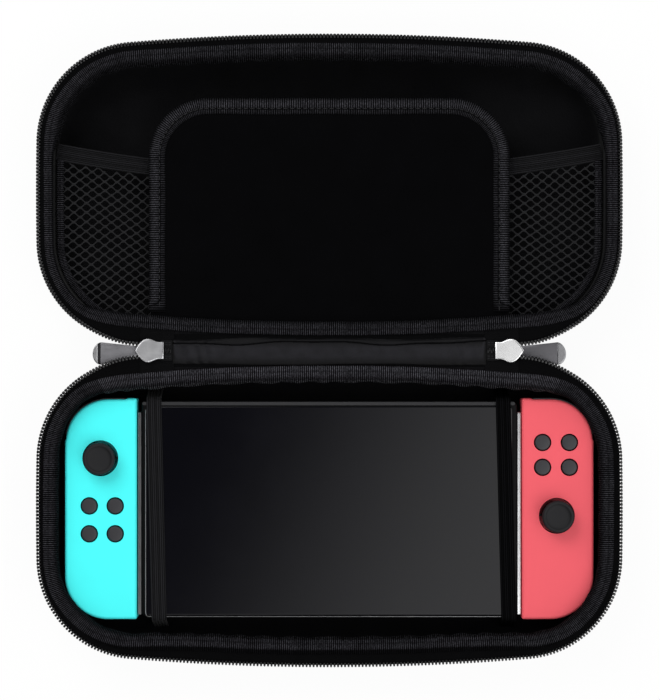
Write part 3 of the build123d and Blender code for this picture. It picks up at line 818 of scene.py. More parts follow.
def lathe(centre: Sequence[float], profile: Array, count: int, ripple: Optional[Array] = None) -> Patch:
    """Return a turned solid: each profile point goes round the upright axis through the centre.

    Args:
        centre: x and y of the axis.
        profile: Rows of radius and height.
        count: Points round the axis.
        ripple: Optional factor on the radius, rows by count.

    Returns:
        The closed patch.
    """
    angle = np.linspace(0.0, 2 * math.pi, count, endpoint=False)
    radius = profile[:, :1] * (np.ones((len(profile), count)) if ripple is None else ripple)
    grid = np.stack([
        centre[0] + radius * np.cos(angle),
        centre[1] + radius * np.sin(angle),
        np.broadcast_to(profile[:, 1:], radius.shape),
    ], 2)
    across = np.arange(count + 1) * profile[:, 0].max() * 2 * math.pi / count
    return Patch(grid, along=distances(profile), across=across, wrap_cols=True, cap_rows=True)


def bead(half: Sequence[float], rows: int = 5, cols: int = 8, square: float = 0.6) -> Array:
    """Return a small block with rounded sides, from a superellipsoid.

    A direction's sine and cosine are raised to a power under 1, which squares the sphere up.

    Args:
        half: Half sizes along the three axes.
        rows: Rows from end to end along the first axis.
        cols: Points round it.
        square: The power; 1 is an ellipsoid.

    Returns:
        Points, rows by cols by 3.
    """
    rise = np.linspace(-0.42, 0.42, rows)[:, None] * math.pi
    turn = np.linspace(0.0, 2 * math.pi, cols, endpoint=False)[None] + math.pi / cols
    girth = signed_power(np.cos(rise), square)
    return np.stack([
        half[0] * signed_power(np.sin(rise), square) * np.ones_like(turn),
        half[1] * girth * signed_power(np.cos(turn), square),
        half[2] * girth * signed_power(np.sin(turn), square),
    ], 2)


def signed_power(value: Array, power: float) -> Array:
    """Return the value's size raised to a power, with its sign kept."""
    return np.sign(value) * np.abs(value) ** power


def placed(shape: Array, origins: Array, forward: Array) -> Array:
    """Return copies of a shape, each set at an origin with its first axis along a flat direction.

    Args:
        shape: Points, rows by cols by 3, for all copies or for each.
        origins: Copies by 3.
        forward: Copies by 2, unit vectors for the first axis; the second is it turned left.

    Returns:
        Points, copies by rows by cols by 3.
    """
    local = np.broadcast_to(shape, (len(origins),) + shape.shape[-3:])
    left = np.stack([-forward[:, 1], forward[:, 0]], 1)
    flat = local[..., :1] * forward[:, None, None, :] + local[..., 1:2] * left[:, None, None, :]
    return origins[:, None, None, :] + np.concatenate([flat, local[..., 2:]], 3)


@dataclass(frozen=True)
class ArcPath:
    """A flat path of tangent arcs that runs anticlockwise.

    arcs has a row for each: centre x, centre y, radius, start angle and sweep.
    """

    arcs: Array
    shift_y: float = 0.0

    @property
    def ends(self) -> Array:
        """Return the running length at the end of each arc, after a leading zero."""
        return np.concatenate([[0.0], np.cumsum(self.arcs[:, 2] * self.arcs[:, 4])])

    @property
    def length(self) -> float:
        """Return the path's whole length."""
        return float(self.ends[-1])

    def at(self, place: Array) -> tuple[Array, Array]:
        """Return points and outward normals at lengths along the path.

        On arc k the angle is its start angle plus the length into it over its radius; the normal is the unit
        vector at that angle and the point is the centre plus radius times normal.

        Args:
            place: Lengths; a closed path takes them past its ends.

        Returns:
            Points and normals, each rows by 2.
        """
        ends = self.ends
        run = np.mod(place, self.length)
        index = np.clip(np.searchsorted(ends, run, "right") - 1, 0, len(self.arcs) - 1)
        x, y, radius, start, _ = self.arcs[index].T
        angle = start + (run - ends[index]) / radius
        normal = np.stack([np.cos(angle), np.sin(angle)], 1)
        return np.stack([x, y + self.shift_y], 1) + radius[:, None] * normal, normal

    def sweep(self, place: Array, inset: Array, height: Array, half: Half = Half.BASE) -> Array:
        """Carry a profile along the path: point minus inset times normal, at the profile's height.

        Args:
            place: Lengths along the path.
            inset: Distance inwards, columns or rows by columns.
            height: Height, columns or rows by columns.
            half: The lid's half is the mirror image in Y.

        Returns:
            Points, rows by columns by 3.
        """
        point, normal = self.at(place)
        inset = np.broadcast_to(inset, (len(place), np.shape(inset)[-1]))
        flat = point[:, None] - inset[..., None] * normal[:, None]
        grid = np.concatenate([flat, np.broadcast_to(height, inset.shape)[..., None]], 2)
        return grid * np.array([1.0, -1.0 if half is Half.LID else 1.0, 1.0])


HALF_LENGTH, HALF_WIDTH = 133.0, 71.8
LONG_RADIUS, SHORT_RADIUS, CORNER_RADIUS = 1100.0, 1500.0, 46.0


def rim_path() -> ArcPath:
    """Return the tray's zip outline, from the middle of the spine anticlockwise.

    Eight tangent arcs: two long edges, two short edges and four corners. A corner's centre is the point whose
    distance from a big arc's centre is the difference of the radii, for both big arcs.

    Returns:
        The path.
    """
    x, y = HALF_LENGTH - CORNER_RADIUS, HALF_WIDTH - CORNER_RADIUS
    for _ in range(30):
        x = HALF_LENGTH - SHORT_RADIUS + math.sqrt((SHORT_RADIUS - CORNER_RADIUS) ** 2 - y * y)
        y = HALF_WIDTH - LONG_RADIUS + math.sqrt((LONG_RADIUS - CORNER_RADIUS) ** 2 - x * x)
    far_y, far_x = LONG_RADIUS - HALF_WIDTH, SHORT_RADIUS - HALF_LENGTH
    slim, steep = math.atan2(x, y + far_y), math.atan2(y, x + far_x)
    bend, quarter = math.pi / 2 - slim - steep, math.pi / 2
    arcs = [
        (0, -far_y, LONG_RADIUS, quarter, slim),
        (-x, y, CORNER_RADIUS, quarter + slim, bend),
        (far_x, 0, SHORT_RADIUS, 2 * quarter - steep, 2 * steep),
        (-x, -y, CORNER_RADIUS, 2 * quarter + steep, bend),
        (0, far_y, LONG_RADIUS, 3 * quarter - slim, 2 * slim),
        (x, -y, CORNER_RADIUS, 3 * quarter + slim, bend),
        (-far_x, 0, SHORT_RADIUS, -steep, 2 * steep),
        (x, y, CORNER_RADIUS, steep, bend),
        (0, -far_y, LONG_RADIUS, quarter - slim, slim),
    ]
    return ArcPath(np.array(arcs, float), -HALF_WIDTH)


RIM = rim_path()


def from_spine(place: Array) -> Array:
    """Return the shorter length along the rim to the middle of the spine."""
    return np.minimum(place, RIM.length - place)


@dataclass
class CaseHalf:
    """One half of the case: moulded shell, rim binding, zip tape and zip teeth."""

    half: Half
    rim_top: float = 25.0
    shell_top: float = 23.0
    bottom_round: float = 10.0
    outer_draft: float = math.radians(4.0)
    inner_draft: float = math.radians(3.0)
    outer_inset: float = 4.6
    inner_inset: float = 7.8
    floor: float = 4.0
    floor_round: float = 4.0
    rib_pitch: float = 0.95
    rib_depth: float = 0.14
    tooth_pitch: float = 1.585
    mouth_x: float = 86.4
    lean_reach: float = 1.7
    lean_run: float = 26.0
    spine_setback: float = 2.6
    front_setback: float = 1.6
    rear_run: tuple[float, float] = (92.0, 120.0)
    side_start: tuple[float, float] = (105.0, 130.0)
    side_end: tuple[float, float] = (215.0, 250.0)
    front_run: tuple[float, float] = (265.0, 310.0)
    side_shifts: tuple[tuple[float, float], tuple[float, float]] = ((1.0, 0.2), (0.6, 1.9))
    front_painted_shade: float = 2.4
    painted_light_run: float = 108.0
    slims: tuple[float, float] = (0.75, 0.3)
    skirt: float = 2.6

    def build(self) -> None:
        """Build and dress the half's four pieces."""
        body = self.half.body
        settle(self.shell(), body, "shell_cloth", f"{body}_shell")
        settle(self.binding(), body, "binding_tape", f"{body}_binding")
        settle(self.tape(), body, "zip_tape", f"{body}_zip_tape")
        settle(self.teeth(), body, "zip_teeth", f"{body}_zip_coil")

    def shell(self) -> Piece:
        """Return the moulded shell, cloth outside and fleece inside.

        The section runs from the flat bottom up a quarter circle and the drafted outer wall, over the rim, down
        the inner wall and through a small round to the floor; flat rings shrink to the middle on both faces.
        """
        turn = np.linspace(math.pi / 2, -self.outer_draft, 11)
        wall = self.outer_inset + (self.shell_top - self.bottom_round) * math.tan(self.outer_draft)
        outside = np.stack([
            wall + self.bottom_round * (1 - np.cos(turn)),
            self.bottom_round * (1 - np.sin(turn)),
        ], 1)
        rim = np.array([[0.02, 22.3], [0.2, 22.8], [0.6, 23.0], [2.6, 23.0], [3.0, 22.8], [3.22, 22.3]])
        rim[:, 0] += self.outer_inset
        down = np.linspace(21.0, self.floor + self.floor_round, 5)
        inner = np.stack([self.inner_inset + (self.shell_top - down) * math.tan(self.inner_draft), down], 1)
        bend = np.linspace(0.2, 1.0, 5) * math.pi / 2
        foot = np.stack([
            inner[-1, 0] + self.floor_round * (1 - np.cos(bend)),
            self.floor + self.floor_round * (1 - np.sin(bend)),
        ], 1)
        section = np.concatenate([outside, rim, inner, foot])
        place = np.linspace(0.0, RIM.length, 372, endpoint=False)
        grid = RIM.sweep(place, section[:, 0], section[:, 1], self.half)
        factors = np.array([0.8, 0.55, 0.3, 0.1])[:, None]
        first, last = grid[:, :1], grid[:, -1:]
        under = first.mean(0) + (first - first.mean(0)) * factors[::-1]
        over = last.mean(0) + (last - last.mean(0)) * factors
        grid = np.concatenate([under, grid, over], 1)
        split = len(factors) + len(outside) + 2
        patch = Patch(
            grid,
            along=np.append(place, RIM.length),
            across=distances(grid[0]),
            wrap_rows=True,
            cap_cols=True,
            slots=(np.arange(grid.shape[1]) >= split).astype(int),
        )
        return MeshMaker(f"{self.half.body}_shell_cloth", OUTER, LINING).add(patch).build()

    def binding(self) -> Piece:
        """Return the corded tape over the rim, a domed hook section with a real rib every pitch.

        The section moves out along its own normal by the rib depth times minus cosine of the length along the
        rim, only where the tape is seen. Its inner leg slants inwards as a skirt, in proportion to the depth, and
        puckers a little at its lower edge.
        """
        section = np.array([
            [4.6, 23.84], [4.3, 24.0], [4.6, 24.3], [5.4, 24.62], [6.5, 24.9], [7.6, 24.95], [8.8, 24.7],
            [9.8, 24.1], [10.32, 23.2], [10.38, 21.8], [10.2, 20.0], [9.95, 18.6],
            [9.2, 18.42], [8.4, 18.7], [8.15, 22.4], [8.1, 23.78],
        ])
        seen = np.array([0.3, 0.8, 1, 1, 1, 1, 1, 1, 1, 1, 0.8, 0.5, 0, 0, 0, 0])
        ribs = round(RIM.length / self.rib_pitch)
        place = np.arange(4 * ribs) * (RIM.length / (4 * ribs))
        lift = -np.cos(np.arange(4 * ribs) * math.pi / 2)[:, None] * seen * self.rib_depth
        sway = 0.12 * np.sin(place / 11.3) + 0.08 * np.sin(place / 4.1 + 1.0)
        normal = profile_normals(section)
        inset = section[:, 0] + lift * normal[:, 0] + 0.7 * sway[:, None] * seen
        slim = self.beside_pocket(place)[:, None]
        pucker = 1.0 + 0.22 * np.sin(place / 2.3 + 2.0 * np.sin(place / 17.0))
        depth = np.clip((23.8 - section[:, 1]) / 5.0, 0.0, 1.0)
        slant = self.skirt * (self.skirt_share(place) * pucker)[:, None] * depth
        drawn = slim * np.clip(section[:, 0] - 7.4, 0, None)
        inset = inset + self.offset(place)[:, None] - drawn + slant * seen
        height = section[:, 1] + lift * normal[:, 1] + 0.4 * sway[:, None] * seen
        patch = Patch(
            RIM.sweep(place, inset, height, self.half),
            along=np.arange(4 * ribs + 1) * self.rib_pitch / 4,
            # Moving the across lengths by that width paints shade on the outer edge of the tray's front.
            across=distances(section, True) - self.unlit(place)[:, None],
            wrap_rows=True,
            wrap_cols=True,
            # Slots 2 and 3, beside the tray's spine, take lighter copies of the finishes: painted light.
            slots=(np.arange(len(section)) >= 8) + 2 * self.beside_spine(place)[:, None],
        )
        finishes = BINDING, BINDING_EDGE, BINDING_PAINTED_LIT, BINDING_SKIRT_PAINTED_LIT
        return MeshMaker(f"{self.half.body}_rim_binding", *finishes).add(patch).build(75.0)

    def offset(self, place: Array) -> Array:
        """Return how far in the binding sits.

        It sits further in along the spine and on the tray's front edge, and further out on the short sides.

        Args:
            place: Lengths along the rim.

        Returns:
            Distances inwards.
        """
        run = from_spine(place)
        rear = self.spine_setback * (1.0 - ease(run, *self.rear_run))
        left, right = self.side_shifts[0 if self.half is Half.BASE else 1]
        side = np.where(place < RIM.length / 2, left, right)
        side = side * ease(run, *self.side_start) * (1.0 - ease(run, *self.side_end))
        front = self.front_setback * ease(run, *self.front_run) if self.half is Half.BASE else 0.0
        return rear + front - side

    def beside_spine(self, place: Array) -> Array:
        """Return 1 for the stretch along the spine where the tray's binding has painted light, and 0 elsewhere."""
        run = from_spine(place)
        return ((run < self.painted_light_run) & (self.half is Half.BASE)).astype(int)

    def unlit(self, place: Array) -> Array:
        """Return the width at the binding's outer edge that takes painted shade, on the tray's front only."""
        run = from_spine(place)
        return self.front_painted_shade * ease(run, 235.0, 290.0) * (self.half is Half.BASE)

    def skirt_share(self, place: Array) -> Array:
        """Return how much of the skirt shows: all of it behind and in front, half at the tray's sides."""
        run = from_spine(place)
        if self.half is Half.LID:
            return ease(run, 196.0, 215.0)
        return 1.0 - 0.55 * ease(run, 95.0, 125.0) * (1.0 - ease(run, 245.0, 290.0))

    def beside_pocket(self, place: Array) -> Array:
        """Return the share by which the binding is drawn in, beside the lid's pocket only."""
        if self.half is Half.BASE:
            return np.zeros_like(place)
        run = from_spine(place)
        share = np.where(place < RIM.length / 2, *self.slims)
        return share * ease(run, 105.0, 125.0) * (1.0 - ease(run, 196.0, 212.0))

    def mouth(self) -> float:
        """Return the length along the rim from the spine's middle to the zip's end."""
        return LONG_RADIUS * math.asin(self.mouth_x / LONG_RADIUS)

    def lean(self, place: Array) -> Array:
        """Return how far the zip leans out to meet its slider, most at its ends and nothing further along."""
        run = from_spine(place) - self.mouth()
        return self.lean_reach * (1.0 - ease(run, 0.0, self.lean_run))

    def tape(self) -> Piece:
        """Return the zip tape: a thin section with a woven ridge, carried along the rim from end to end."""
        edge, front = (1.25, 0.25) if self.half is Half.BASE else (1.0, 0.4)
        section = np.array([
            [edge, 23.15], [edge, 23.4], [1.9, 23.6], [2.3, 23.85], [2.7, 23.62], [4.5, 23.7], [7.6, 23.76],
            [7.6, 23.06], [4.5, 23.02], [2.4, 23.04],
        ])
        place = np.linspace(self.mouth(), RIM.length - self.mouth(), 660)
        wave = 0.1 * np.sin(place / 6.7)[:, None] * (section[:, 0] < 3.0)
        inset = section[:, 0] - self.lean(place)[:, None] * (1.0 - section[:, 0] / self.inner_inset)
        inset = inset - front * np.clip(-RIM.at(place)[1][:, 1:], 0.0, 1.0) * (section[:, 0] < 1.7)
        patch = Patch(
            RIM.sweep(place, inset, section[:, 1] + wave, self.half),
            along=place,
            across=distances(section, True),
            wrap_cols=True,
            cap_rows=True,
        )
        return MeshMaker(f"{self.half.body}_woven_zip_tape", TAPE).add(patch).build()

    def teeth(self) -> Piece:
        """Return the zip teeth: one small rounded block per pitch, with its head outwards.

        A tooth's width eases from its stem to its head. The heads meet on the sides and stand apart on the edge
        opposite the spine, and the stems leave gaps that show what is below, wider ones on the tray. Near the
        slider the stems close up and the heads stand apart.
        """
        block = bead((1.04, 0.88, 0.85), 7, square=0.7)
        stem, apart = (0.6, 0.38) if self.half is Half.BASE else (0.8, 0.08)
        count = int((RIM.length - 2 * self.mouth()) / self.tooth_pitch)
        place = np.linspace(self.mouth() + 0.8, RIM.length - self.mouth() - 0.8, count)
        point, normal = RIM.at(place)
        near = 1.0 - ease(from_spine(place) - self.mouth(), 10.0, 34.0)
        head = (1.0 - apart * np.clip(-normal[:, 1], 0.0, 1.0) - 0.35 * near)[:, None, None]
        stem = stem + 0.15 * np.clip(normal[:, 1], 0.0, 1.0)
        stem = (stem + (0.98 - stem) * near)[:, None, None]
        block = np.broadcast_to(block, (count,) + block.shape).copy()
        block[..., 1] *= stem + (head - stem) * ease(block[..., 0], 0.2, 0.6)
        inset = 1.05 - self.lean(place)[:, None] * (1.0 - 1.05 / self.inner_inset)
        origins = np.column_stack([point - inset * normal, np.full(count, 23.42)])
        grid = placed(block, origins, normal)
        if self.half is Half.LID:
            grid = grid * np.array([1.0, -1.0, 1.0])
        patch = Patch(grid, wrap_cols=True, cap_rows=True)
        return MeshMaker(f"{self.half.body}_zip_teeth", NYLON).add(patch).build()


@dataclass
class Spine:
    """The soft spine between the halves, with a stitched patch at each end."""

    half_length: float = 71.0
    half_width: float = 7.4
    leather_half: float = 5.2
    tray_edge: float = 6.5
    top: float = 23.6
    thickness: float = 0.55
    gusset_start: float = 70.4
    gusset_end: float = 89.0
    slot_x: float = 75.1
    slot_share: float = 0.25

    def build(self) -> None:
        """Build and dress the strip and the zip's end cloths beside it."""
        strip = self.strip()
        self.bend(strip)
        settle(strip, None, "spine_leather", "hinge_strip")
        for side in Side:
            cloth = self.gusset(side)
            self.bend(cloth)
            settle(cloth, None, "zip_tape")

    @staticmethod
    def bend(piece: Piece) -> None:
        """Bake a piece's placement into its mesh; it hangs on neither half."""
        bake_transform(piece)

    def gusset(self, side: Side) -> Piece:
        """Return the cloth at the zip's closed end, from the tray's rim to the lid's.

        Rows run from rim to rim, and each row goes out from the spine and back underneath. Rows at the middle stop
        behind the slider, which leaves it a slot to turn in, and the others reach the zip's first teeth; fine pleats
        run to the slider.

        Args:
            side: Which end.

        Returns:
            The piece.
        """
        across = np.linspace(-1.0, 1.0, 97)[:, None]
        end = np.where(np.abs(across) < self.slot_share, self.slot_x, self.gusset_end)
        out = np.linspace(0.0, 1.0, 30)
        x = self.gusset_start + np.concatenate([out, out[::-1]]) * (end - self.gusset_start)
        y = across * (8.3 + x * x / 2200.0)
        pleat = 0.07 * np.sin(2.1 * y + 0.3 * x) + 0.05 * np.sin(1.3 * x)
        z = 23.3 + 0.25 * across**2 + pleat - np.where(np.arange(2 * out.size) < out.size, 0.0, 0.4)
        grid = np.stack([side.value * x, y, z], 2)
        patch = Patch(grid, along=y[:, 0], across=distances(grid[0], True), wrap_cols=True, cap_rows=True)
        return MeshMaker(f"zip_end_cloth_{side.word}", ZIP_END).add(patch).build(60.0)

    @staticmethod
    def crease_line(x: Array) -> Array:
        """Return the y of the long crease beside the lid, a wandering line."""
        return 3.3 + 0.75 * np.sin(x / 12.5 + 2.3) + 0.3 * np.sin(x / 5.1)

    def creases(self, x: Array, y: Array) -> Array:
        """Return the strip's height over its flat lie.

        A long crease with a fold beyond it runs beside the lid on a wandering line, cross creases crowd at the
        left end, and low waves run all along.

        Args:
            x: Places along the spine.
            y: Places across it.

        Returns:
            Heights.
        """
        line = self.crease_line(x)
        fold = 0.35 * np.exp(-(((y - line - 1.2) / 0.7) ** 2)) - 0.4 * np.exp(-(((y - line) / 0.4) ** 2))
        lower = 0.16 * np.exp(-(((y + 3.6 + 0.4 * np.sin(x / 9.0) + 0.0004 * x * x) / 0.8) ** 2))
        near_end = np.exp(-(((x + 60.0) / 9.0) ** 2)) + 0.45 * np.exp(-(((x - 62.0) / 8.0) ** 2))
        cross = 0.26 * near_end * np.sin(1.15 * x + 0.35 * y + 0.8 * np.sin(x / 3.0))
        return fold + lower + cross + 0.07 * np.sin(x / 4.3 + 0.5 * y) * np.cos(y / 2.0)

    def strip(self) -> Piece:
        """Return the strip: height over x and y for its top, the same less the thickness for its back.

        The leather stands a little proud, and its black seam edges fall away under the bindings.
        """
        x = np.linspace(-self.half_length, self.half_length, 220)[:, None]
        y = np.linspace(-self.half_width, self.half_width, 80)
        y = np.concatenate([y, y[::-1]])
        front = np.arange(y.size) < y.size // 2
        edge = np.where(y > 0.0, self.leather_half + 0.35 * np.sin(x / 8.3), self.tray_edge)
        edge = edge - 0.3 * np.sin(x / 13.0)
        fall = ease(np.abs(y), edge - 0.7, edge + 0.3)
        z = self.top + (1.0 - fall) * self.creases(x, y) - 0.45 * fall - np.where(front, 0.0, self.thickness)
        grid = np.stack(np.broadcast_arrays(x, y, z), 2)
        patch = Patch(
            grid,
            along=x[:, 0],
            # Painted shade: the across lengths shrink to nothing at the strip's ends, darkening them.
            across=distances(grid[0], True) * ease(self.half_length - np.abs(x), 0.0, 1.6),
            wrap_cols=True,
            cap_rows=True,
            # Cells on the crease line take the black tape: painted shade in the crease.
            slots=(~front | (np.abs(y) > edge) | (np.abs(y - self.crease_line(x)) < 0.3)).astype(int),
        )
        return MeshMaker("spine_strip", SPINE, TAPE).add(patch).build(60.0)


@dataclass
class ZipEnd:
    """A zip slider with its bail and pull tab, and the closed end of the zip behind it."""

    side: Side
    rear_x: float = 75.0
    tip_x: float = 88.0
    bulge_x: float = 82.0
    rear_half: float = 3.85
    bulge_half: float = 5.35
    top: float = 25.3
    plate: float = 1.0
    bottom: float = 20.8
    tab_end: float = 107.6
    tab_half: float = 5.1
    tab_round: float = 4.0
    tab_z: float = 19.5
    tab_lean: float = 0.07

    def build(self) -> None:
        """Build and dress the slider, the pull tab and the closed chain."""
        word = self.side.word
        settle(self.slider(), f"slider_{word}", "slider_metal", f"slider_{word}")
        settle(self.chain(), f"slider_{word}", "zip_teeth", f"chain_end_{word}")
        settle(self.tab(), f"tab_{word}", "slider_metal", f"pull_tab_{word}")

    def mirrored(self, patch: Patch) -> Patch:
        """Return the patch on this slider's side; patches are drawn for the right side."""
        patch.points = patch.points * np.array([self.side.value, 1.0, 1.0])
        return patch

    def half_width(self, x: Array) -> Array:
        """Return the plate's half width: straight, an S curve to the bulge, then a pointed arch."""
        swell = np.clip((x - self.rear_x - 2.2) / (self.bulge_x - self.rear_x - 2.2), 0, 1)
        arch = np.clip((x - self.bulge_x) / (self.tip_x - self.bulge_x), 0, 1)
        wide = self.rear_half + (self.bulge_half - self.rear_half) * swell**2 * (3 - 2 * swell)
        return np.where(x > self.bulge_x, self.bulge_half * (1 - arch**2.1), wide)

    def outline(self, inset: float) -> Array:
        """Return the plate's outline shrunk about its middle by about the inset."""
        rear, arch = np.linspace(self.rear_x, self.bulge_x, 16), np.linspace(self.bulge_x, self.tip_x, 16)
        x = np.concatenate([rear, arch[1:]])
        wide = self.half_width(x)
        loop = np.concatenate([np.stack([x, wide], 1), np.stack([x, -wide], 1)[-2::-1]])
        centre = np.array([81.0, 0.0])
        return centre + (loop - centre) * (1.0 - inset / np.array([6.2, 4.6]))

    def slider(self) -> Piece:
        """Return the slider: two dished plates, the wedge and flanges between them and the bail below."""
        finish = SLIDER_LEFT if self.side is Side.LEFT else SLIDER_RIGHT
        maker = MeshMaker(f"zip_slider_{self.side.word}", finish)
        rise = np.array([
            [0.3, 0.0], [0.08, 0.08], [0.0, 0.3], [0.0, 0.72], [0.05, 0.88], [0.16, 0.98],
            [0.26, 1.0], [0.36, 0.97], [0.42, 0.93],
        ])
        upper = np.column_stack([rise[:, 0], self.top - self.plate + rise[:, 1] * self.plate])
        lower = np.column_stack([rise[::-1, 0], self.bottom + (1 - rise[::-1, 1]) * self.plate])
        maker.add(self.mirrored(loft(self.outline, upper, (0.97, 0.6, 0.3))))
        maker.add(self.mirrored(loft(self.outline, lower)))

        def wedge(inset: float) -> Array:
            """Return the post's diamond outline."""
            turn = np.linspace(0, 2 * math.pi, 16, endpoint=False)
            return np.stack([84.6 + (2.2 - inset) * np.cos(turn), (1.5 - inset) * np.sin(turn)], 1)

        maker.add(self.mirrored(loft(wedge, edge_levels(self.bottom + 0.8, self.top - 0.8, 0.1, 0.1, 3))))
        for sign in (1, -1):
            for low, high in ((self.bottom + 0.7, self.bottom + 1.9), (self.top - 1.9, self.top - 0.7)):
                maker.add(self.mirrored(self.flange(sign, low, high)))
        maker.add(self.mirrored(self.bail()))
        return maker.build(50.0)

    def flange(self, sign: int, low: float, high: float) -> Patch:
        """Return the lip along one side of a plate: a narrow upright band that follows the plate's edge.

        Args:
            sign: Side in Y.
            low: Lower edge.
            high: Upper edge.

        Returns:
            The closed band.
        """
        x = np.linspace(76.0, 84.2, 18)
        wide = self.half_width(x)
        section = np.array([[0.05, low], [0.05, high], [0.8, high], [0.8, low]])
        grid = np.stack([
            np.broadcast_to(x[:, None], (len(x), 4)),
            sign * (wide[:, None] - section[:, 0]),
            np.broadcast_to(section[:, 1], (len(x), 4)),
        ], 2)
        return Patch(grid, wrap_cols=True, cap_rows=True)

    def bail(self) -> Patch:
        """Return the bail: a rounded bar carried down, along and up again under the lower plate."""
        turn = np.linspace(math.pi, 2 * math.pi, 21)
        path = np.stack([
            81.2 + 3.1 * signed_power(np.cos(turn), 0.6),
            self.bottom + 0.2 + 2.95 * signed_power(np.sin(turn), 0.6),
        ], 1)
        tangent = np.gradient(path, axis=0)
        normal = np.stack([-tangent[:, 1], tangent[:, 0]], 1) / np.linalg.norm(tangent, axis=1)[:, None]
        around = np.linspace(0, 2 * math.pi, 12, endpoint=False)
        out, wide = 0.48 * np.cos(around), 1.05 * signed_power(np.sin(around), 0.6)
        flat = path[:, None] + out[None, :, None] * normal[:, None]
        grid = np.stack([flat[..., 0], np.broadcast_to(wide, flat.shape[:2]), flat[..., 1]], 2)
        return Patch(grid, wrap_cols=True, cap_rows=True)

    def tab(self) -> Piece:
        """Return the pull tab: a flared plate with a window at the bail and a rolled lip at its far end.
        The lip is a lighter metal, a painted highlight; on the left a dark band inside it is a painted shadow.

        Rings run round the window: each section point is a mix of the window's edge and the plate's edge at the
        same step, so one closed grid makes the plate, its bevels and the window. Past the bail the tab leans
        towards the tray, in proportion to the length.
        """
        round_x = self.tab_end - self.tab_round
        quarter = np.linspace(0.0, math.pi / 2, 11)
        arc = np.stack([round_x + self.tab_round * np.cos(quarter), self.tab_half * np.sin(quarter)], 1)
        edge = np.array([
            [100.0, 4.45], [96.0, 3.75], [92.0, 3.05], [88.6, 2.45], [85.6, 2.3], [82.4, 2.2], [82.0, 1.6],
        ])
        upper = np.concatenate([arc, edge])
        plate = np.concatenate([upper, [[81.95, 0.0]], upper[:0:-1] * np.array([1.0, -1.0])])
        turn = np.arange(len(plate)) * 2 * math.pi / len(plate)
        cosine, sine = signed_power(np.cos(turn), 0.6), signed_power(np.sin(turn), 0.6)
        window = np.stack([85.4 + 2.3 * cosine, 1.45 * sine], 1)
        mix = np.array([1.0, 0.985, 0.95, 0.5, 0.06, 0.0, 0.0, 0.06, 0.5, 0.95, 0.985, 1.0])
        rise = np.array([0.3, 0.5, 0.55, 0.55, 0.52, 0.4, -0.4, -0.52, -0.55, -0.55, -0.5, -0.3])
        flat = window[:, None] + mix[None, :, None] * (plate - window)[:, None]
        grid = np.concatenate([flat, np.broadcast_to(self.tab_z + rise, flat.shape[:2])[..., None]], 2)
        # The lips' lighter metals are painted highlights, the left tab's dark band a painted shadow.
        if self.side is Side.LEFT:
            finishes = TAB_LEFT, TAB_LIP_PAINTED_HIGHLIGHT, TAB_PAINTED_SHADOW
            lips = (1, round_x + 1.6, 0.95), (2, round_x + 0.2, 0.62)
        else:
            finishes, lips = (TAB_RIGHT, TAB_EDGE_PAINTED_HIGHLIGHT), ((1, round_x, 0.7),)
        maker = MeshMaker(f"pull_tab_plate_{self.side.word}", *finishes)
        maker.add(self.leaning(Patch(grid, wrap_rows=True, wrap_cols=True)))
        for slot, start, thick in lips:
            maker.add(self.leaning(self.lip(slot, start, thick)))
        return maker.build(35.0)

    def lip(self, slot: int, start: float, thick: float) -> Patch:
        """Return the end of the tab beyond a line, as a thicker plate with round edges.

        Args:
            slot: Its finish.
            start: Where it starts along X.
            thick: Half its thickness.

        Returns:
            The closed patch.
        """
        reach = math.acos((start - self.tab_end + self.tab_round) / self.tab_round)
        turn = np.linspace(-reach, reach, 31)

        def outline(inset: float) -> Array:
            """Return the cut-off ellipse, shrunk by the inset."""
            x = self.tab_end - self.tab_round + (self.tab_round - inset) * np.cos(turn)
            return np.stack([np.maximum(x, start + inset), (self.tab_half - inset) * np.sin(turn)], 1)

        patch = loft(outline, edge_levels(self.tab_z - thick, self.tab_z + thick, 0.35, 0.35, 4), (0.8, 0.5))
        patch.slots = np.full(patch.points.shape[1], slot)
        return patch

    def leaning(self, patch: Patch) -> Patch:
        """Return a tab's patch on its side, leaning towards the tray past the bail."""
        patch = self.mirrored(patch)
        patch.points[..., 1] -= self.tab_lean * np.clip(np.abs(patch.points[..., 0]) - 84.0, 0.0, None)
        return patch

    def chain(self) -> Piece:
        """Return the closed chain end: a woven patch, meshed teeth in its middle and stitches on both sides."""
        maker = MeshMaker(f"zip_chain_end_{self.side.word}", PATCH, NYLON, THREAD)

        def slab(inset: float) -> Array:
            """Return the patch's outline."""
            return rounded_box((71.1, -4.7), (76.4, 4.7), (0.6,) * 4, inset, 4)

        maker.add(self.mirrored(loft(slab, edge_levels(23.12, 23.75, 0.15, 0.2, 3), (0.6,))))
        x = np.arange(71.9, 76.0, 0.8)
        sway = np.where(np.arange(len(x)) % 2, 0.35, -0.35)
        teeth = placed(bead((0.95, 0.36, 0.6)), np.column_stack([x, sway, np.full(len(x), 23.65)]),
                       np.tile([0.0, 1.0], (len(x), 1)))
        maker.add(self.mirrored(Patch(teeth, wrap_cols=True, cap_rows=True, slots=np.ones(8, int))))
        y = np.repeat([-3.6, -2.6, 2.6, 3.6], 3)
        spots = np.column_stack([np.tile([72.3, 73.9, 75.5], 4), y, np.full(12, 23.76)])
        stitches = placed(bead((0.6, 0.16, 0.12), 4, 6, 1.0), spots, np.tile([1.0, 0.0], (12, 1)))
        maker.add(self.mirrored(Patch(stitches, wrap_cols=True, cap_rows=True, slots=np.full(6, 2))))
        return maker.build()


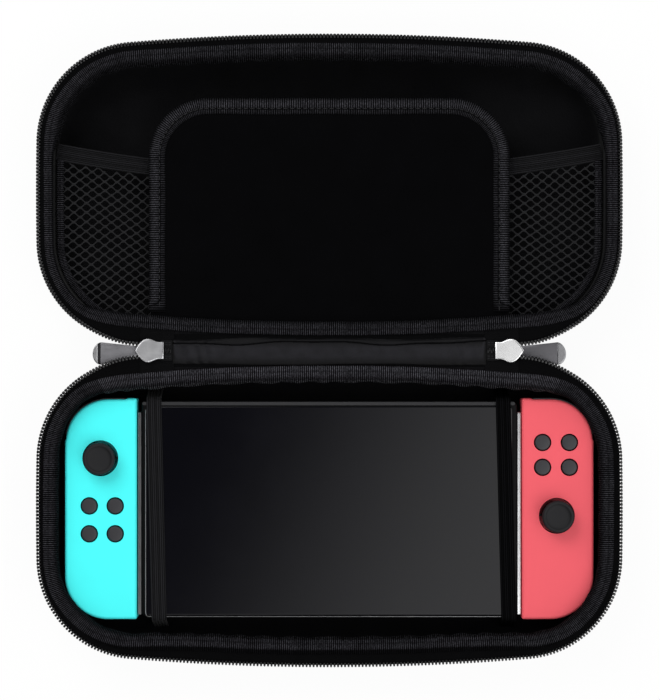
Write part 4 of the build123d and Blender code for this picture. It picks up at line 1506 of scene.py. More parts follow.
@dataclass
class NetPocket:
    """The lid's net pocket: net, elastic hem and the corded tape along the wall."""

    pitch_x: float = 5.7
    pitch_y: float = 4.2
    slant: float = -0.06
    height: float = 17.3
    wall_inset: float = 9.2
    hem_y: float = 82.4
    hem_radius: float = 650.0
    hem_width: float = 7.7
    rib_pitch: float = 0.95

    @property
    def hem_centre(self) -> float:
        """Return the Y of the centre of the hem's curve."""
        return self.hem_y + self.hem_radius

    def build(self) -> None:
        """Build and dress the three pieces."""
        hem = settle(self.hem(), "lid", "elastic_cloth", "mesh_hem")
        edging = settle(self.edging(), "lid", "binding_tape", "mesh_edging")
        net = settle(self.net(), "lid", "net_cloth", "mesh_pocket")

    def inside(self, x: Array, y: Array, inset: float) -> Array:
        """Return which places lie inside the lid's wall: within every arc's circle of the rim, moved in.

        Args:
            x: Places along X.
            y: Places along Y, in the lid.
            inset: Distance from the zip's outline.

        Returns:
            A mask.
        """
        px, py, corner = np.abs(x), np.abs(y - HALF_WIDTH), RIM.arcs[7]
        long_side = np.hypot(px, py + LONG_RADIUS - HALF_WIDTH) < LONG_RADIUS - inset
        short_side = np.hypot(px + SHORT_RADIUS - HALF_LENGTH, py) < SHORT_RADIUS - inset
        in_corner = (px > corner[0]) & (py > corner[1])
        round_corner = np.hypot(px - corner[0], py - corner[1]) < corner[2] - inset
        return long_side & short_side & (~in_corner | round_corner)

    def net(self) -> Piece:
        """Return the net: slanted strands between staggered knots, flat where they meet.

        A strand goes half a pitch along X and half a pitch up or down; its rise eases in and out, so that strands
        leave a knot side by side and the openings become rounded hexagons. A wandering shift keeps it from
        looking ruled.
        """
        column, row, sign = (part.ravel() for part in np.meshgrid(
            np.arange(-24, 25), np.arange(-2, 44), (-1.0, 1.0), indexing="ij"))
        x0 = (column + (row % 2) / 2) * self.pitch_x
        y0 = 12.0 + row * self.pitch_y / 2
        step = np.linspace(-0.1, 1.1, 6)
        rise = 0.3 * step + 0.7 * ease(step, 0.0, 1.0)
        x = x0[:, None] + step * self.pitch_x / 2
        y = y0[:, None] + sign[:, None] * rise * self.pitch_y / 2 + self.slant * x
        drift = 0.6 * np.sin(x / 17.0) + 0.3 * np.sin(x / 6.0 + y / 9.0)
        x, y = x + 0.5 * np.sin(y / 13.0 + x / 31.0), y + drift
        limit = self.hem_radius + self.hem_width - 0.6
        keep = (self.inside(x, y, self.wall_inset) & (np.hypot(x, y - self.hem_centre) > limit)).all(1)
        x, y, sign = x[keep], y[keep], sign[keep]
        centre = np.stack([x, y, self.height + 0.1 * sign[:, None] * np.cos(step * math.pi)], 2)
        flow = np.gradient(centre[..., :2], axis=1)
        flow = flow / np.linalg.norm(flow, axis=2, keepdims=True)
        aside = np.stack([-flow[..., 1], flow[..., 0], np.zeros_like(x)], 2)
        thick = 0.27 + 0.42 * np.clip(np.abs(2 * step - 1), 0.0, 1.0) ** 3
        section = np.array([[1, 0], [0, 1], [-1, 0], [0, -1]], float)
        grid = (centre[:, :, None] + section[None, None, :, :1] * aside[:, :, None] * thick[None, :, None, None]
                + section[None, None, :, 1:] * np.array([0, 0, 0.24]))
        return MeshMaker("pocket_net", YARN).add(Patch(grid, wrap_cols=True, cap_rows=True)).build(80.0)

    def hem(self) -> Piece:
        """Return the hem: a flat band with seven cords along it, carried along the net's front curve."""
        cords = 7
        across = np.linspace(0.0, self.hem_width, cords * 4 + 1)
        top = 17.65 + 0.45 * np.abs(np.sin(across / self.hem_width * cords * math.pi))
        section = np.concatenate([
            np.column_stack([across, top]),
            [[self.hem_width - 0.1, 16.95], [self.hem_width / 2, 16.9], [0.1, 16.95]],
        ])
        reach = math.asin(123.2 / self.hem_radius)
        angle = np.linspace(-reach, reach, 420)
        pucker = 0.12 * np.sin(angle * self.hem_radius * 2 * math.pi / 2.6)[:, None]
        radius = self.hem_radius + section[:, 0]
        z = section[:, 1] + pucker * np.sin(np.clip(section[:, 0] / self.hem_width, 0, 1) * math.pi)
        grid = np.stack([
            radius * np.sin(angle)[:, None],
            self.hem_centre - radius * np.cos(angle)[:, None],
            np.broadcast_to(z, (len(angle), len(section))),
        ], 2)
        patch = Patch(grid, along=angle * self.hem_radius, across=distances(section, True),
                      wrap_cols=True, cap_rows=True)
        return MeshMaker("pocket_hem", ELASTIC).add(patch).build(70.0)

    def edging(self) -> Piece:
        """Return the tape along the wall: a low ribbed band carried along the lid's wall from hem to hem."""
        probe = np.linspace(0.0, RIM.length / 2, 4000)
        spot = RIM.sweep(probe, np.array([9.6]), np.array([0.0]), Half.LID)[:, 0]
        beyond = np.hypot(spot[:, 0], spot[:, 1] - self.hem_centre) > self.hem_radius + self.hem_width
        reach = probe[beyond].max()
        flat = np.array([
            [8.16, 17.6], [8.12, 18.0], [8.7, 18.3], [9.6, 18.38], [10.5, 18.28], [10.95, 17.95], [10.9, 17.6],
        ])
        full = np.array([
            [8.9, 17.6], [8.9, 18.6], [9.4, 19.3], [10.4, 19.6], [11.5, 19.2], [12.1, 18.4], [12.0, 17.6],
        ])
        seen = np.array([0, 0.3, 1, 1, 1, 0.7, 0])
        ribs = round(2 * reach / self.rib_pitch)
        place = np.linspace(-reach, reach, 4 * ribs)
        swell = ease(np.abs(place), 100.0, 125.0)[:, None, None]
        section = flat + swell * (full - flat)
        lift = -np.cos(np.arange(4 * ribs) * math.pi / 2)[:, None, None] * seen[:, None] * 0.12
        section = section + lift * profile_normals(full)
        grid = RIM.sweep(place, section[..., 0], section[..., 1], Half.LID)
        patch = Patch(grid, along=np.arange(4 * ribs) * self.rib_pitch / 4, across=distances(full, True),
                      wrap_cols=True, cap_rows=True)
        return MeshMaker("pocket_edging", BINDING).add(patch).build(75.0)


@dataclass
class Divider:
    """The padded divider that hangs on a cloth fold in the lid, with its corded binding and stitches."""

    half_length: float = 82.0
    rear_y: float = 14.5
    front_y: float = 114.7
    corner: float = 27.0
    binding_rear: float = 17.5
    rib_pitch: float = 1.03
    stitch_inset: float = 4.95
    swell_limit: float = 0.5

    def path(self) -> ArcPath:
        """Return the bound edge, from the right round the front to the left; straight runs are huge arcs."""
        big = 1.0e6
        run = (self.front_y - self.corner - self.binding_rear) / big
        span = 2 * (self.half_length - self.corner) / big
        x, y, quarter = self.half_length - self.corner, self.front_y - self.corner, math.pi / 2
        arcs = [
            (self.half_length - big, y, big, -run, run),
            (x, y, self.corner, 0.0, quarter),
            (0.0, self.front_y - big, big, quarter - span / 2, span),
            (-x, y, self.corner, quarter, quarter),
            (big - self.half_length, y, big, 2 * quarter, run),
        ]
        return ArcPath(np.array(arcs, float))

    def build(self) -> None:
        """Build and dress the panel, its binding, the stitches and the fold."""
        panel = settle(self.panel(), "flap", "velvet_cloth", "flap_panel")
        settle(self.binding(), "flap", "binding_tape", "flap_binding")
        settle(self.stitches(), "flap", "binding_tape")
        fold = self.fold()
        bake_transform(fold)
        settle(fold, None, "velvet_cloth", "flap_fold")

    def panel(self) -> Piece:
        """Return the padded panel: two crowned faces, swollen as cloth between their sewn edges.

        Each row runs from side to side at one y, as far as the rounded outline lets it, over the top face and
        back over the underside. Half the thickness is 1.0 at the edge plus 0.55 times 1 - (1 - d)^2 further in,
        where d is the distance from the edge over 18 mm.
        """
        inset, count = 1.0, 61
        y = np.linspace(self.rear_y, self.front_y - inset, 45)[:, None]
        over = np.clip(y - (self.front_y - self.corner), 0.0, None)
        radius = self.corner - inset
        wide = self.half_length - self.corner + np.sqrt(radius**2 - np.minimum(over, radius) ** 2)
        across = np.sin(np.linspace(-1.0, 1.0, count) * math.pi / 2)
        x = wide * np.concatenate([across, across[::-1]])
        sign = np.where(np.arange(2 * count) < count, 1.0, -1.0)
        gap = np.minimum(wide - np.abs(x), np.minimum(self.front_y - inset - y, y - self.rear_y + 6.0))
        crown = 1.0 + 0.55 * (1.0 - (1.0 - np.clip(gap / 18.0, 0.0, 1.0)) ** 2)
        grid = np.stack(np.broadcast_arrays(x, y, 21.0 + sign * crown), 2)
        piece = MeshMaker("divider_panel", VELVET).add(Patch(grid, wrap_cols=True, cap_rows=True)).build(80.0)
        swell(piece, np.append((gap < 8.5).ravel(), [True, True]), self.swell_limit)
        return piece

    def binding(self) -> Piece:
        """Return the binding: a folded corded tape, a rib every pitch, carried round the divider's edge."""
        half = np.array([
            [7.7, 1.55], [7.2, 1.75], [6.0, 1.8], [5.2, 1.6], [4.8, 1.6], [4.2, 1.95], [3.2, 2.05],
            [1.6, 1.7], [0.45, 1.05],
        ])
        lining = np.array([[1.2, 0.0], [2.2, 1.2], [7.0, 1.4]])
        section = np.concatenate([half, [[0.1, 0.0]], half[::-1] * [1, -1], lining[::-1] * [1, -1], lining[1:]])
        section = section + np.array([0.0, 21.0])
        seen = np.concatenate([[0.5, 1, 1, 0.4, 0.4], np.ones(9), [0.4, 0.4, 1, 1, 0.5], np.zeros(5)])
        path = self.path()
        ribs = round(path.length / self.rib_pitch)
        place = np.linspace(0.0, path.length - 1e-3, 4 * ribs)
        lift = -np.cos(np.arange(4 * ribs) * math.pi / 2)[:, None] * seen * 0.1
        sway = 0.12 * np.sin(place / 7.3)[:, None] * (section[:, 0] > 5.0)
        normal = profile_normals(section)
        inset, height = section[:, 0] + lift * normal[:, 0] + sway, section[:, 1] + lift * normal[:, 1]
        grid = path.sweep(place, inset, height)
        # Painted shade: the across lengths shrink to nothing at the ends, where the binding meets the fold.
        lit = ease(np.minimum(place, path.length - place), 0.5, 6.0)[:, None]
        patch = Patch(grid, along=np.arange(4 * ribs) * self.rib_pitch / 4, across=distances(section, True) * lit,
                      wrap_cols=True, cap_rows=True)
        return MeshMaker("divider_binding", DIVIDER_TAPE).add(patch).build(75.0)

    def stitches(self) -> Piece:
        """Return the stitches: one short thread every three millimetres on both faces of the binding."""
        path = self.path()
        place = np.arange(1.5, path.length - 1.0, 3.0)
        point, normal = path.at(place)
        spot = point - self.stitch_inset * normal
        along = np.stack([-normal[:, 1], normal[:, 0]], 1)
        shape = bead((1.05, 0.2, 0.16), 5, 6, 1.0)
        maker = MeshMaker("divider_stitches", THREAD)
        for z in (22.66, 19.34):
            origins = np.column_stack([spot, np.full(len(spot), z)])
            maker.add(Patch(placed(shape, origins, along), wrap_cols=True, cap_rows=True))
        return maker.build()

    def fold(self) -> Piece:
        """Return the cloth fold: a thin strip with a soft groove along the line where it bends."""
        x = np.linspace(-78.0, 78.0, 100)[:, None]
        y = np.linspace(0.0, 1.0, 12)[None] * np.ones_like(x)
        rear = 10.3 + x * x / 2200.0
        y = rear + y * (self.rear_y + 0.4 - rear)
        y = np.concatenate([y, y[:, ::-1]], 1)
        part = np.clip((y - rear) / (self.rear_y - rear), 0, 1)
        sag = -0.25 * np.sin(part * math.pi) + 0.05 * np.sin(x / 3.0)
        z = 22.6 + sag - np.where(np.arange(24) < 12, 0.0, 0.6)
        grid = np.stack(np.broadcast_arrays(x, y, z), 2)
        return MeshMaker("divider_fold", VELVET).add(Patch(grid, wrap_cols=True, cap_rows=True)).build(70.0)


@dataclass
class Strap:
    """An elastic strap from the tray's floor over the console and down again."""

    side: Side
    rear_x: float
    front_x: float
    width: float = 6.8
    rear_y: float = -22.2
    front_y: float = -122.4
    top: float = 18.45
    floor: float = 4.2
    spread: float = 4.5

    def build(self) -> None:
        """Build and dress the strap."""
        settle(self.band(), "base", "elastic_cloth", f"strap_{self.side.word}")

    def band(self) -> Piece:
        """Return the strap: a corded flat section carried along a bent line whose corners are averaged round.

        The line is sampled every 0.4 mm and each point is the mean of its neighbours over 3 mm.
        """
        corners = np.array([
            [self.rear_y + self.spread, self.floor], [self.rear_y, self.top],
            [self.front_y, self.top], [self.front_y - self.spread, self.floor],
        ])
        run = distances(corners)
        fine = np.arange(0.0, run[-1], 0.4)
        line = np.stack([np.interp(fine, run, corners[:, 0]), np.interp(fine, run, corners[:, 1])], 1)
        padded = np.concatenate([np.repeat(line[:1], 4, 0), line, np.repeat(line[-1:], 4, 0)])
        smooth = np.stack([np.convolve(padded[:, axis], np.ones(9) / 9, "valid") for axis in (0, 1)], 1)
        tangent = np.gradient(smooth, axis=0)
        normal = np.stack([tangent[:, 1], -tangent[:, 0]], 1) / np.linalg.norm(tangent, axis=1)[:, None]
        across = np.linspace(-0.5, 0.5, 41)
        crown = 0.05 + 0.42 * np.abs(np.sin((across + 0.5) * 5.0 * math.pi)) ** 0.7
        under = [[0.49, -0.3], [0.0, -0.35], [-0.49, -0.3]]
        section = np.concatenate([np.column_stack([across, crown]), under])
        share = (smooth[:, 0] - self.rear_y) / (self.front_y - self.rear_y)
        x = self.rear_x + (self.front_x - self.rear_x) * share
        flat = smooth[:, None] + section[None, :, 1:] * normal[:, None]
        grid = np.stack([x[:, None] + section[:, 0] * self.width, flat[..., 0], flat[..., 1]], 2)
        girth = distances(section * np.array([self.width, 1.0]), True)
        patch = Patch(grid, along=fine, across=girth, wrap_cols=True, cap_rows=True)
        finish = STRAP_LEFT if self.side is Side.LEFT else STRAP_RIGHT
        return MeshMaker(f"elastic_strap_{self.side.word}", finish).add(patch).build(70.0)


@dataclass
class Tablet:
    """The console's body: two shell halves, cover glass and the side rails."""

    half_length: float = 85.6
    rear_y: float = -23.2
    front_y: float = -121.4
    bottom: float = 4.0
    split: float = 11.0
    top: float = 18.0

    def build(self) -> None:
        """Build and dress the body's pieces."""
        back = self.half("console_back_shell", self.bottom, self.split - 0.05, 2.2, 0.15)
        settle(back, "base", "console_plastic", "console_rear_cover")
        front = self.half("console_front_shell", self.split + 0.05, self.top - 0.35, 0.15, 1.3)
        settle(front, "base", "console_plastic", "console_front_frame")
        # These bars stand in for the highlights on the frame's edges.
        settle(self.edge_highlights(), "base", "rail_bright")
        settle(self.glass(), "base", "screen_glass", "screen_glass")
        for side in Side:
            # The rails are one metal: the left a darker copy as painted shade, the right a lighter one as painted
            # light.
            finish, slot = (RAIL_PAINTED_SHADE, "rail_dark") if side is Side.LEFT else (RAIL_PAINTED_LIT, "rail_bright")
            settle(self.rail(side, finish), "base", slot, f"rail_{side.word}")

    def outline(self, inset: float) -> Array:
        """Return the body's outline with small corner rounds, moved inwards."""
        low, high = (-self.half_length, self.front_y), (self.half_length, self.rear_y)
        return rounded_box(low, high, (2.4,) * 4, inset, 7)

    def half(self, name: str, low: float, high: float, low_round: float, high_round: float) -> Piece:
        """Return one half of the shell with rounded edges.

        Args:
            name: The piece's name.
            low: Its bottom.
            high: Its top.
            low_round: Radius of the bottom edge.
            high_round: Radius of the top edge.

        Returns:
            The piece.
        """
        levels = edge_levels(low, high, low_round, high_round)
        held = np.array([[high_round + 0.15, high]])
        shell = loft(self.outline, np.concatenate([levels, held]), (0.9,))
        return MeshMaker(name, CONSOLE).add(shell).build(45.0)

    def edge_highlights(self) -> Piece:
        """Return bars that stand in for the frame's edge highlights: a polished metal bar along the front and left
        side, and a flat dull grey one behind, a painted highlight.

        The polished bar is a round section carried along a path that bends at the corner.
        """
        path = np.array([[84.0, -121.2], [-82.6, -121.2], [-83.3, -120.8], [-83.7, -119.6], [-83.7, -27.0]])
        ahead = np.gradient(path, axis=0)
        aside = np.stack([-ahead[:, 1], ahead[:, 0]], 1) / np.linalg.norm(ahead, axis=1)[:, None]
        around = np.linspace(0.0, 2 * math.pi, 10, endpoint=False)
        flat = path[:, None] + 0.22 * np.cos(around)[None, :, None] * aside[:, None]
        height = np.broadcast_to(17.75 + 0.22 * np.sin(around), flat.shape[:2])
        grid = np.concatenate([flat, height[..., None]], 2)
        maker = MeshMaker("console_edge_highlights", FRAME_EDGE_HIGHLIGHT, REAR_EDGE_HIGHLIGHT)
        maker.add(Patch(grid, along=distances(path), across=np.arange(11) * 0.14, wrap_cols=True, cap_rows=True))

        def bar(inset: float) -> Array:
            """Return the rear bar's outline."""
            return rounded_box((-85.2, -25.0), (84.6, -23.4), (0.7,) * 4, inset, 5)

        rear = loft(bar, edge_levels(17.4, 17.98, 0.05, 0.25), (0.6,))
        rear.slots = np.ones(rear.points.shape[1], int)
        return maker.add(rear).build(60.0)

    def glass(self) -> Piece:
        """Return the cover glass: a thin plate with ground edges, just proud of the frame."""
        def outline(inset: float) -> Array:
            """Return the glass's outline."""
            return rounded_box((-83.3, -120.4), (83.3, -25.6), (1.6,) * 4, inset, 7)

        levels = np.concatenate([edge_levels(17.2, self.top, 0.05, 0.3), [[0.4, self.top], [0.6, self.top]]])
        return MeshMaker("cover_glass", GLASS).add(loft(outline, levels, (0.7, 0.4))).build(30.0)

    def rail(self, side: Side, finish: Finish) -> Piece:
        """Return a side rail: a grooved section carried along the console's side.

        Args:
            side: Which side.
            finish: Its metal.

        Returns:
            The piece.
        """
        section = np.array([
            [0.0, 6.0], [0.0, 17.0], [0.25, 17.3], [0.55, 17.3], [0.7, 16.9], [0.95, 16.9], [1.1, 17.3], [1.4, 17.3],
            [1.6, 17.0], [1.6, 6.0],
        ])
        y = np.array([-120.4, -120.1, -119.6, -100.0, -74.3, -50.0, -28.9, -28.4, -28.2])
        taper = np.array([0.35, 0.1, 0.0, 0.0, 0.0, 0.0, 0.0, 0.1, 0.35])[:, None]
        middle = section.mean(0)
        shrunk = section[None] + taper[..., None] * 0.3 * (middle - section)[None]
        grid = np.stack([
            side.value * (self.half_length + shrunk[..., 0]),
            np.broadcast_to(y[:, None], shrunk.shape[:2]),
            shrunk[..., 1],
        ], 2)
        patch = Patch(grid, along=y, across=distances(section, True), wrap_cols=True, cap_rows=True)
        return MeshMaker(f"side_rail_{side.word}", finish).add(patch).build(30.0)


@dataclass
class Controller:
    """A clip-on controller: two shells with rooms for the shoulder keys, four buttons and a stick."""

    side: Side
    finish: Finish
    slot: str
    stick_at: tuple[float, float]
    buttons_at: Pairs
    inner_x: float = 87.7
    outer_x: float = 120.5
    rear_y: float = -21.8
    front_y: float = -122.5
    corner: float = 19.5
    bottom: float = 4.0
    split: float = 10.0
    top: float = 18.0
    key_depth: float = 4.5
    key_lip: float = 0.45
    key_steps: tuple[float, float] = (91.5, 92.8)
    key_end: float = -40.3

    def build(self) -> None:
        """Build and dress the controller's pieces."""
        word = self.side.word
        settle(self.front(), "base", self.slot, f"{word}_front_shell")
        settle(self.back(), "base", self.slot, f"{word}_rear_shell")
        for index, spot in enumerate(self.buttons_at, 1):
            node = f"{word}_button_{index}"
            settle(self.button(index, spot), node, "button_plastic", node)
        settle(self.stick(), f"{word}_stick", "stick_rubber", f"{word}_stick")

    def outline(self, inset: float) -> Array:
        """Return the controller's outline, moved inwards.

        It is square beside the console and has two large outer corners; two more points on its rear edge make
        room for a step beside the shoulder keys.

        Args:
            inset: How far it moves in.

        Returns:
            The outline's points.
        """
        low_x, high_x = sorted((self.side.value * self.inner_x, self.side.value * self.outer_x))
        small, large = max(0.9, inset + 0.05), self.corner
        radii = (large, small, small, large) if self.side is Side.RIGHT else (small, large, large, small)
        arc = 29
        loop = rounded_box((low_x, self.front_y), (high_x, self.rear_y), radii, inset, arc)
        steps = sorted((self.side.value * x for x in self.key_steps), reverse=True)
        return np.insert(loop, arc, [(x, self.rear_y - inset) for x in steps], 0)

    def key_room(self, loop: Array) -> Array:
        """Return 1 for the outline's points beside the shoulder keys and 0 elsewhere."""
        return ((np.abs(loop[:, 0]) > sum(self.key_steps) / 2) & (loop[:, 1] > self.key_end)).astype(float)

    def stepped(self, levels: Sequence[tuple[float, float, float]]) -> Array:
        """Return rings of the outline, set back further beside the shoulder keys.

        Args:
            levels: Rows of inset, extra inset beside the keys, and height.

        Returns:
            Points, rows by columns by 3.
        """
        plain = self.outline(0.0)
        room = self.key_room(plain)[:, None]
        rings = []
        for inset, extra, height in levels:
            flat = self.outline(inset) * (1 - room) + self.outline(inset + extra) * room
            rings.append(np.column_stack([flat, np.full(len(flat), height)]))
        return np.stack(rings)

    def front(self) -> Piece:
        """Return the front shell, with holes for the buttons and a well for the stick cut through it."""
        edge = edge_levels(16.4, self.top, 0.05, 1.5, 6)[5:]
        deep = self.key_depth
        lip = self.key_lip
        levels = [(0.2, deep, 10.06), (0.0, deep, 10.3), (0.0, deep, 16.35), (0.0, lip, 16.4)]
        levels += [(inset, lip, height) for inset, height in edge[1:]]
        grid = self.stepped(levels)
        patch = Patch(grid, wrap_cols=True, cap_rows=True)
        piece = MeshMaker(f"{self.side.word}_controller_front", self.finish, CONSOLE).add(patch).build(35.0)
        # The holes' walls take the console's near-black finish: painted shade in the gaps round buttons and stick.
        cutter = MeshMaker("hole_cutter", CONSOLE)
        for spot in self.buttons_at:
            cutter.add(lathe(spot, np.array([[3.95, 13.6], [3.95, 17.9], [4.05, 18.1], [4.05, 19.0]]), 40))
        cutter.add(lathe(self.stick_at, np.array([[8.0, 9.0], [8.0, 17.7], [8.25, 18.1], [8.25, 19.0]]), 48))
        return carve(piece, cutter.build())

    def back(self) -> Piece:
        """Return the rear shell, with rounded lower edges and a room for the trigger."""
        edge = edge_levels(self.bottom, self.split, 1.6, 0.05, 6)[:6]
        deep = self.key_depth
        levels = [(inset, 0.0, height * 0.55 + 1.8) for inset, height in edge]
        levels += [(0.0, deep, 4.95), (0.0, deep, 9.7), (0.2, deep, 9.94)]
        patch = Patch(self.stepped(levels), wrap_cols=True, cap_rows=True)
        return MeshMaker(f"{self.side.word}_controller_back", self.finish).add(patch).build(35.0)

    def button(self, index: int, spot: tuple[float, float]) -> Piece:
        """Return a face button: a turned cap with a soft edge and a slightly domed top.

        Args:
            index: Its number.
            spot: Its centre.

        Returns:
            The piece.
        """
        turn = np.linspace(0.0, math.pi / 2, 6)
        edge = np.stack([3.0 + 0.45 * np.cos(turn), 18.3 + 0.45 * np.sin(turn)], 1)
        crown = np.array([[2.2, 18.84], [1.2, 18.89]])
        profile = np.concatenate([[[3.45, 14.7]], edge, crown])
        cap = lathe(spot, profile, 36)
        return MeshMaker(f"{self.side.word}_face_button_{index}", BUTTON).add(cap).build(50.0)

    def stick(self) -> Piece:
        """Return the stick: a neck on a dome, and a cap with a knurled rim and a dished top."""
        profile = np.array([
            [2.0, 12.2], [3.0, 12.6], [6.4, 13.0], [6.6, 14.0], [5.6, 15.4], [3.8, 16.6], [2.6, 17.4],
            [2.2, 18.6], [2.2, 20.6], [3.2, 21.6], [5.4, 22.2], [6.7, 22.6], [7.2, 23.4], [7.3, 24.4],
            [7.15, 25.2], [6.7, 25.7], [6.2, 25.8],
            [5.8, 25.68], [5.5, 25.2], [5.2, 24.95], [4.0, 24.85], [2.0, 24.83],
        ])
        angle = np.linspace(0, 2 * math.pi, 96, endpoint=False)
        grip = ((profile[:, 1] > 23.0) & (profile[:, 0] > 7.0)).astype(float)[:, None]
        ripple = 1.0 + 0.012 * grip * np.cos(24 * angle)
        cap = lathe(self.stick_at, profile, len(angle), ripple)
        return MeshMaker(f"{self.side.word}_thumb_stick", RUBBER).add(cap).build(50.0)


def carve(piece: Piece, cutter: Piece) -> Piece:
    """Cut one piece out of another and keep only the result.

    Args:
        piece: The piece to cut.
        cutter: What is taken away; it is removed afterwards.

    Returns:
        The piece, with the cut in its mesh.
    """
    cut = piece.modifiers.new("cut", "BOOLEAN")
    cut.operation, cut.object, cut.solver, cut.material_mode = "DIFFERENCE", cutter, "EXACT", "TRANSFER"
    view = bpy.context.evaluated_depsgraph_get()
    mesh = bpy.data.meshes.new_from_object(piece.evaluated_get(view))
    piece.modifiers.clear()
    piece.data = mesh
    bpy.data.objects.remove(cutter)
    mesh.shade_smooth()
    mesh.set_sharp_from_angle(angle=math.radians(35.0))
    return piece


def swell(piece: Piece, sewn: Array, limit: float) -> None:
    """Blow a closed pad up as cloth with its sewn points held, and keep the result in its mesh.

    Args:
        piece: The pad.
        sewn: True for each point that stays.
        limit: The furthest a point may move, in millimetres.
    """
    scene = bpy.context.scene
    group = piece.vertex_groups.new(name="sewn")
    group.add(np.flatnonzero(sewn).tolist(), 1.0, "REPLACE")
    cloth = piece.modifiers.new("padding", "CLOTH")
    cloth.settings.use_pressure = True
    cloth.settings.uniform_pressure_force = 4.0
    cloth.settings.vertex_group_mass = group.name
    cloth.settings.effector_weights.gravity = 0.0
    rest = np.empty(3 * len(piece.data.vertices))
    piece.data.vertices.foreach_get("co", rest)
    for step in range(1, 21):
        scene.frame_set(step)
    view = bpy.context.evaluated_depsgraph_get()
    moved = np.empty_like(rest)
    piece.evaluated_get(view).data.vertices.foreach_get("co", moved)
    shift = (moved - rest).reshape(-1, 3)
    reach = np.linalg.norm(shift, axis=1, keepdims=True)
    shift *= np.minimum(1.0, limit * MM / np.maximum(reach, 1e-9))
    piece.modifiers.clear()
    piece.vertex_groups.clear()
    piece.data.vertices.foreach_set("co", rest + shift.ravel())
    piece.data.update()
    scene.frame_set(1)
    LOG.info("%s swells by up to %.2f mm", piece.name, reach.max() / MM)


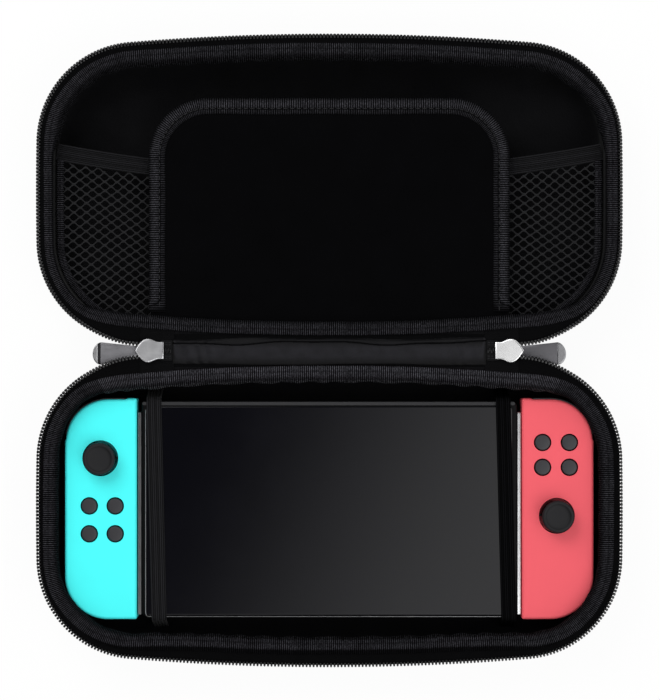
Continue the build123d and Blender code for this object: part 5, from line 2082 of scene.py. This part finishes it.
@dataclass
class Studio:
    """The floor, lamps, world and camera."""

    scale: float = 2.21
    distance: float = 1.1
    dome: float = 0.79
    slope: tuple[float, float, float] = (1.0, -0.45, 0.0)
    slope_range: tuple[float, float] = (-0.033, 0.117)
    reflected: tuple[float, float] = (0.08, 1.25)
    floor_z: float = -0.0004
    sensor: float = 36.0
    picture_height: float = 700.0

    def build(self) -> None:
        """Set up everything around the object."""
        self.floor()
        self.world()
        self.lamp("key_softbox", (-0.6, 0.8, 0.95), 0.9, 9.0)
        self.lamp("fill_softbox", (0.6, -0.5, 1.1), 0.9, 4.8)
        self.camera()
        bpy.context.scene.view_settings.view_transform = "Standard"

    def floor(self) -> None:
        """Lay a white floor that a viewer and reflections see nearly unshaded, and that keeps a soft shadow."""
        mesh = bpy.data.meshes.new("floor")
        corners = [(x, y, self.floor_z) for x, y in ((-3, -3), (3, -3), (3, 3), (-3, 3))]
        mesh.from_pydata(corners, [], [(0, 1, 2, 3)])
        floor = bpy.data.objects.new("floor", mesh)
        bpy.context.scene.collection.objects.link(floor)
        material = bpy.data.materials.new("white_floor")
        material.use_nodes = True
        nodes, links = material.node_tree.nodes, material.node_tree.links
        nodes.clear()
        diffuse, glow, mix, output = (nodes.new(kind) for kind in (
            "ShaderNodeBsdfDiffuse", "ShaderNodeEmission", "ShaderNodeMixShader", "ShaderNodeOutputMaterial"))
        diffuse.inputs["Color"].default_value = (0.9, 0.9, 0.9, 1.0)
        seen = self.seen(nodes, links)
        share = nodes.new("ShaderNodeMath")
        share.operation = "MULTIPLY"
        share.inputs[1].default_value = 0.94
        links.new(seen, share.inputs[0])
        links.new(share.outputs[0], mix.inputs[0])
        links.new(diffuse.outputs[0], mix.inputs[1])
        links.new(glow.outputs[0], mix.inputs[2])
        links.new(mix.outputs[0], output.inputs["Surface"])
        mesh.materials.append(material)

    @staticmethod
    def seen(nodes: bpy.types.Nodes, links: bpy.types.NodeLinks) -> Socket:
        """Return 1 for rays from the viewer, from reflections and through glass, and 0 for light.

        Args:
            nodes: The tree's nodes.
            links: The tree's links.

        Returns:
            The value.
        """
        path = nodes.new("ShaderNodeLightPath")
        value = path.outputs["Is Camera Ray"]
        for name in ("Is Glossy Ray", "Is Transmission Ray"):
            most = nodes.new("ShaderNodeMath")
            most.operation = "MAXIMUM"
            links.new(value, most.inputs[0])
            links.new(path.outputs[name], most.inputs[1])
            value = most.outputs[0]
        return value

    def world(self) -> None:
        """Light evenly from all round, and show reflections a studio dark at the left and bright at the right.

        The level that reflections see eases from dark to bright with the direction's part along a flat slope, so
        that the cover glass carries a soft slanting gradient.
        """
        world = bpy.data.worlds.new("studio")
        bpy.context.scene.world = world
        world.use_nodes = True
        nodes, links = world.node_tree.nodes, world.node_tree.links
        nodes.clear()
        light, white, mix, output = (nodes.new(kind) for kind in (
            "ShaderNodeBackground", "ShaderNodeBackground", "ShaderNodeMixShader", "ShaderNodeOutputWorld"))
        light.inputs["Strength"].default_value = self.dome
        links.new(self.seen(nodes, links), mix.inputs[0])
        links.new(light.outputs[0], mix.inputs[1])
        links.new(white.outputs[0], mix.inputs[2])
        links.new(mix.outputs[0], output.inputs["Surface"])
        part, spread, most = (nodes.new(kind) for kind in (
            "ShaderNodeVectorMath", "ShaderNodeMapRange", "ShaderNodeMath"))
        part.operation, spread.interpolation_type, most.operation = "DOT_PRODUCT", "SMOOTHSTEP", "MAXIMUM"
        part.inputs[1].default_value = self.slope
        links.new(nodes.new("ShaderNodeTexCoord").outputs["Generated"], part.inputs[0])
        links.new(part.outputs["Value"], spread.inputs["Value"])
        for name, value in zip(("From Min", "From Max", "To Min", "To Max"), self.slope_range + self.reflected):
            spread.inputs[name].default_value = value
        links.new(spread.outputs["Result"], most.inputs[0])
        links.new(nodes.new("ShaderNodeLightPath").outputs["Is Camera Ray"], most.inputs[1])
        links.new(most.outputs[0], white.inputs["Strength"])

    @staticmethod
    def lamp(name: str, place: tuple[float, float, float], size: float, power: float) -> None:
        """Hang a square softbox that faces the object.

        Args:
            name: Its name.
            place: Where it hangs.
            size: Its side.
            power: Its power in watts.
        """
        light = bpy.data.lights.new(name, "AREA")
        light.energy, light.size = power, size
        lamp = bpy.data.objects.new(name, light)
        lamp.location = place
        direction = -np.array(place) / np.linalg.norm(place)
        lamp.rotation_euler = (math.acos(-direction[2]), 0.0, math.atan2(-direction[0], direction[1]))
        bpy.context.scene.collection.objects.link(lamp)

    def camera(self) -> None:
        """Look straight down, with the rim's plane at the photograph's scale in a 660 by 700 picture."""
        data = bpy.data.cameras.new("camera")
        data.sensor_fit, data.sensor_height = "VERTICAL", self.sensor
        data.lens = self.sensor * self.distance / (self.picture_height / self.scale * MM)
        camera = bpy.data.objects.new("camera", data)
        camera.location = (0.0003, 0.0002, self.distance + 0.025)
        bpy.context.scene.collection.objects.link(camera)
        bpy.context.scene.camera = camera


def dress_kept_nodes() -> None:
    """Give the CAD nodes that stay, inside the console and at the shoulder keys, their finishes."""
    finishes = {"display_panel": GLASS, "main_board": BOARD, "battery_pack": WRAP, "cooling_fan": INNER}
    for side in Side:
        finishes[f"{side.word}_stick_gimbal"] = INNER
        finishes[f"{side.word}_shoulder_button"] = BUTTON
        finishes[f"{side.word}_trigger"] = BUTTON
    for node, finish in finishes.items():
        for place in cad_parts[node].material_slots:
            place.material = finish.material()
        LOG.info("%s keeps its solid, in %s", node, finish.name)


def main() -> None:
    """Build the case, the console and the studio."""
    logging.basicConfig(level=logging.INFO)
    for half in Half:
        CaseHalf(half).build()
    Spine().build()
    for side in Side:
        ZipEnd(side).build()
    NetPocket().build()
    Divider().build()
    Strap(Side.LEFT, -79.9, -77.5).build()
    Strap(Side.RIGHT, 79.1, 81.7).build()
    Tablet().build()
    Controller(Side.LEFT, CYAN, "cyan_plastic", (-104.3, -49.1),
               ((-109.3, -70.8), (-97.5, -70.8), (-109.3, -83.5), (-97.5, -83.5))).build()
    Controller(Side.RIGHT, CORAL, "coral_plastic", (103.6, -75.3),
               ((97.1, -41.9), (109.3, -41.9), (97.1, -53.2), (109.3, -53.2))).build()
    dress_kept_nodes()
    Studio().build()


if __name__ == "__main__":
    main()
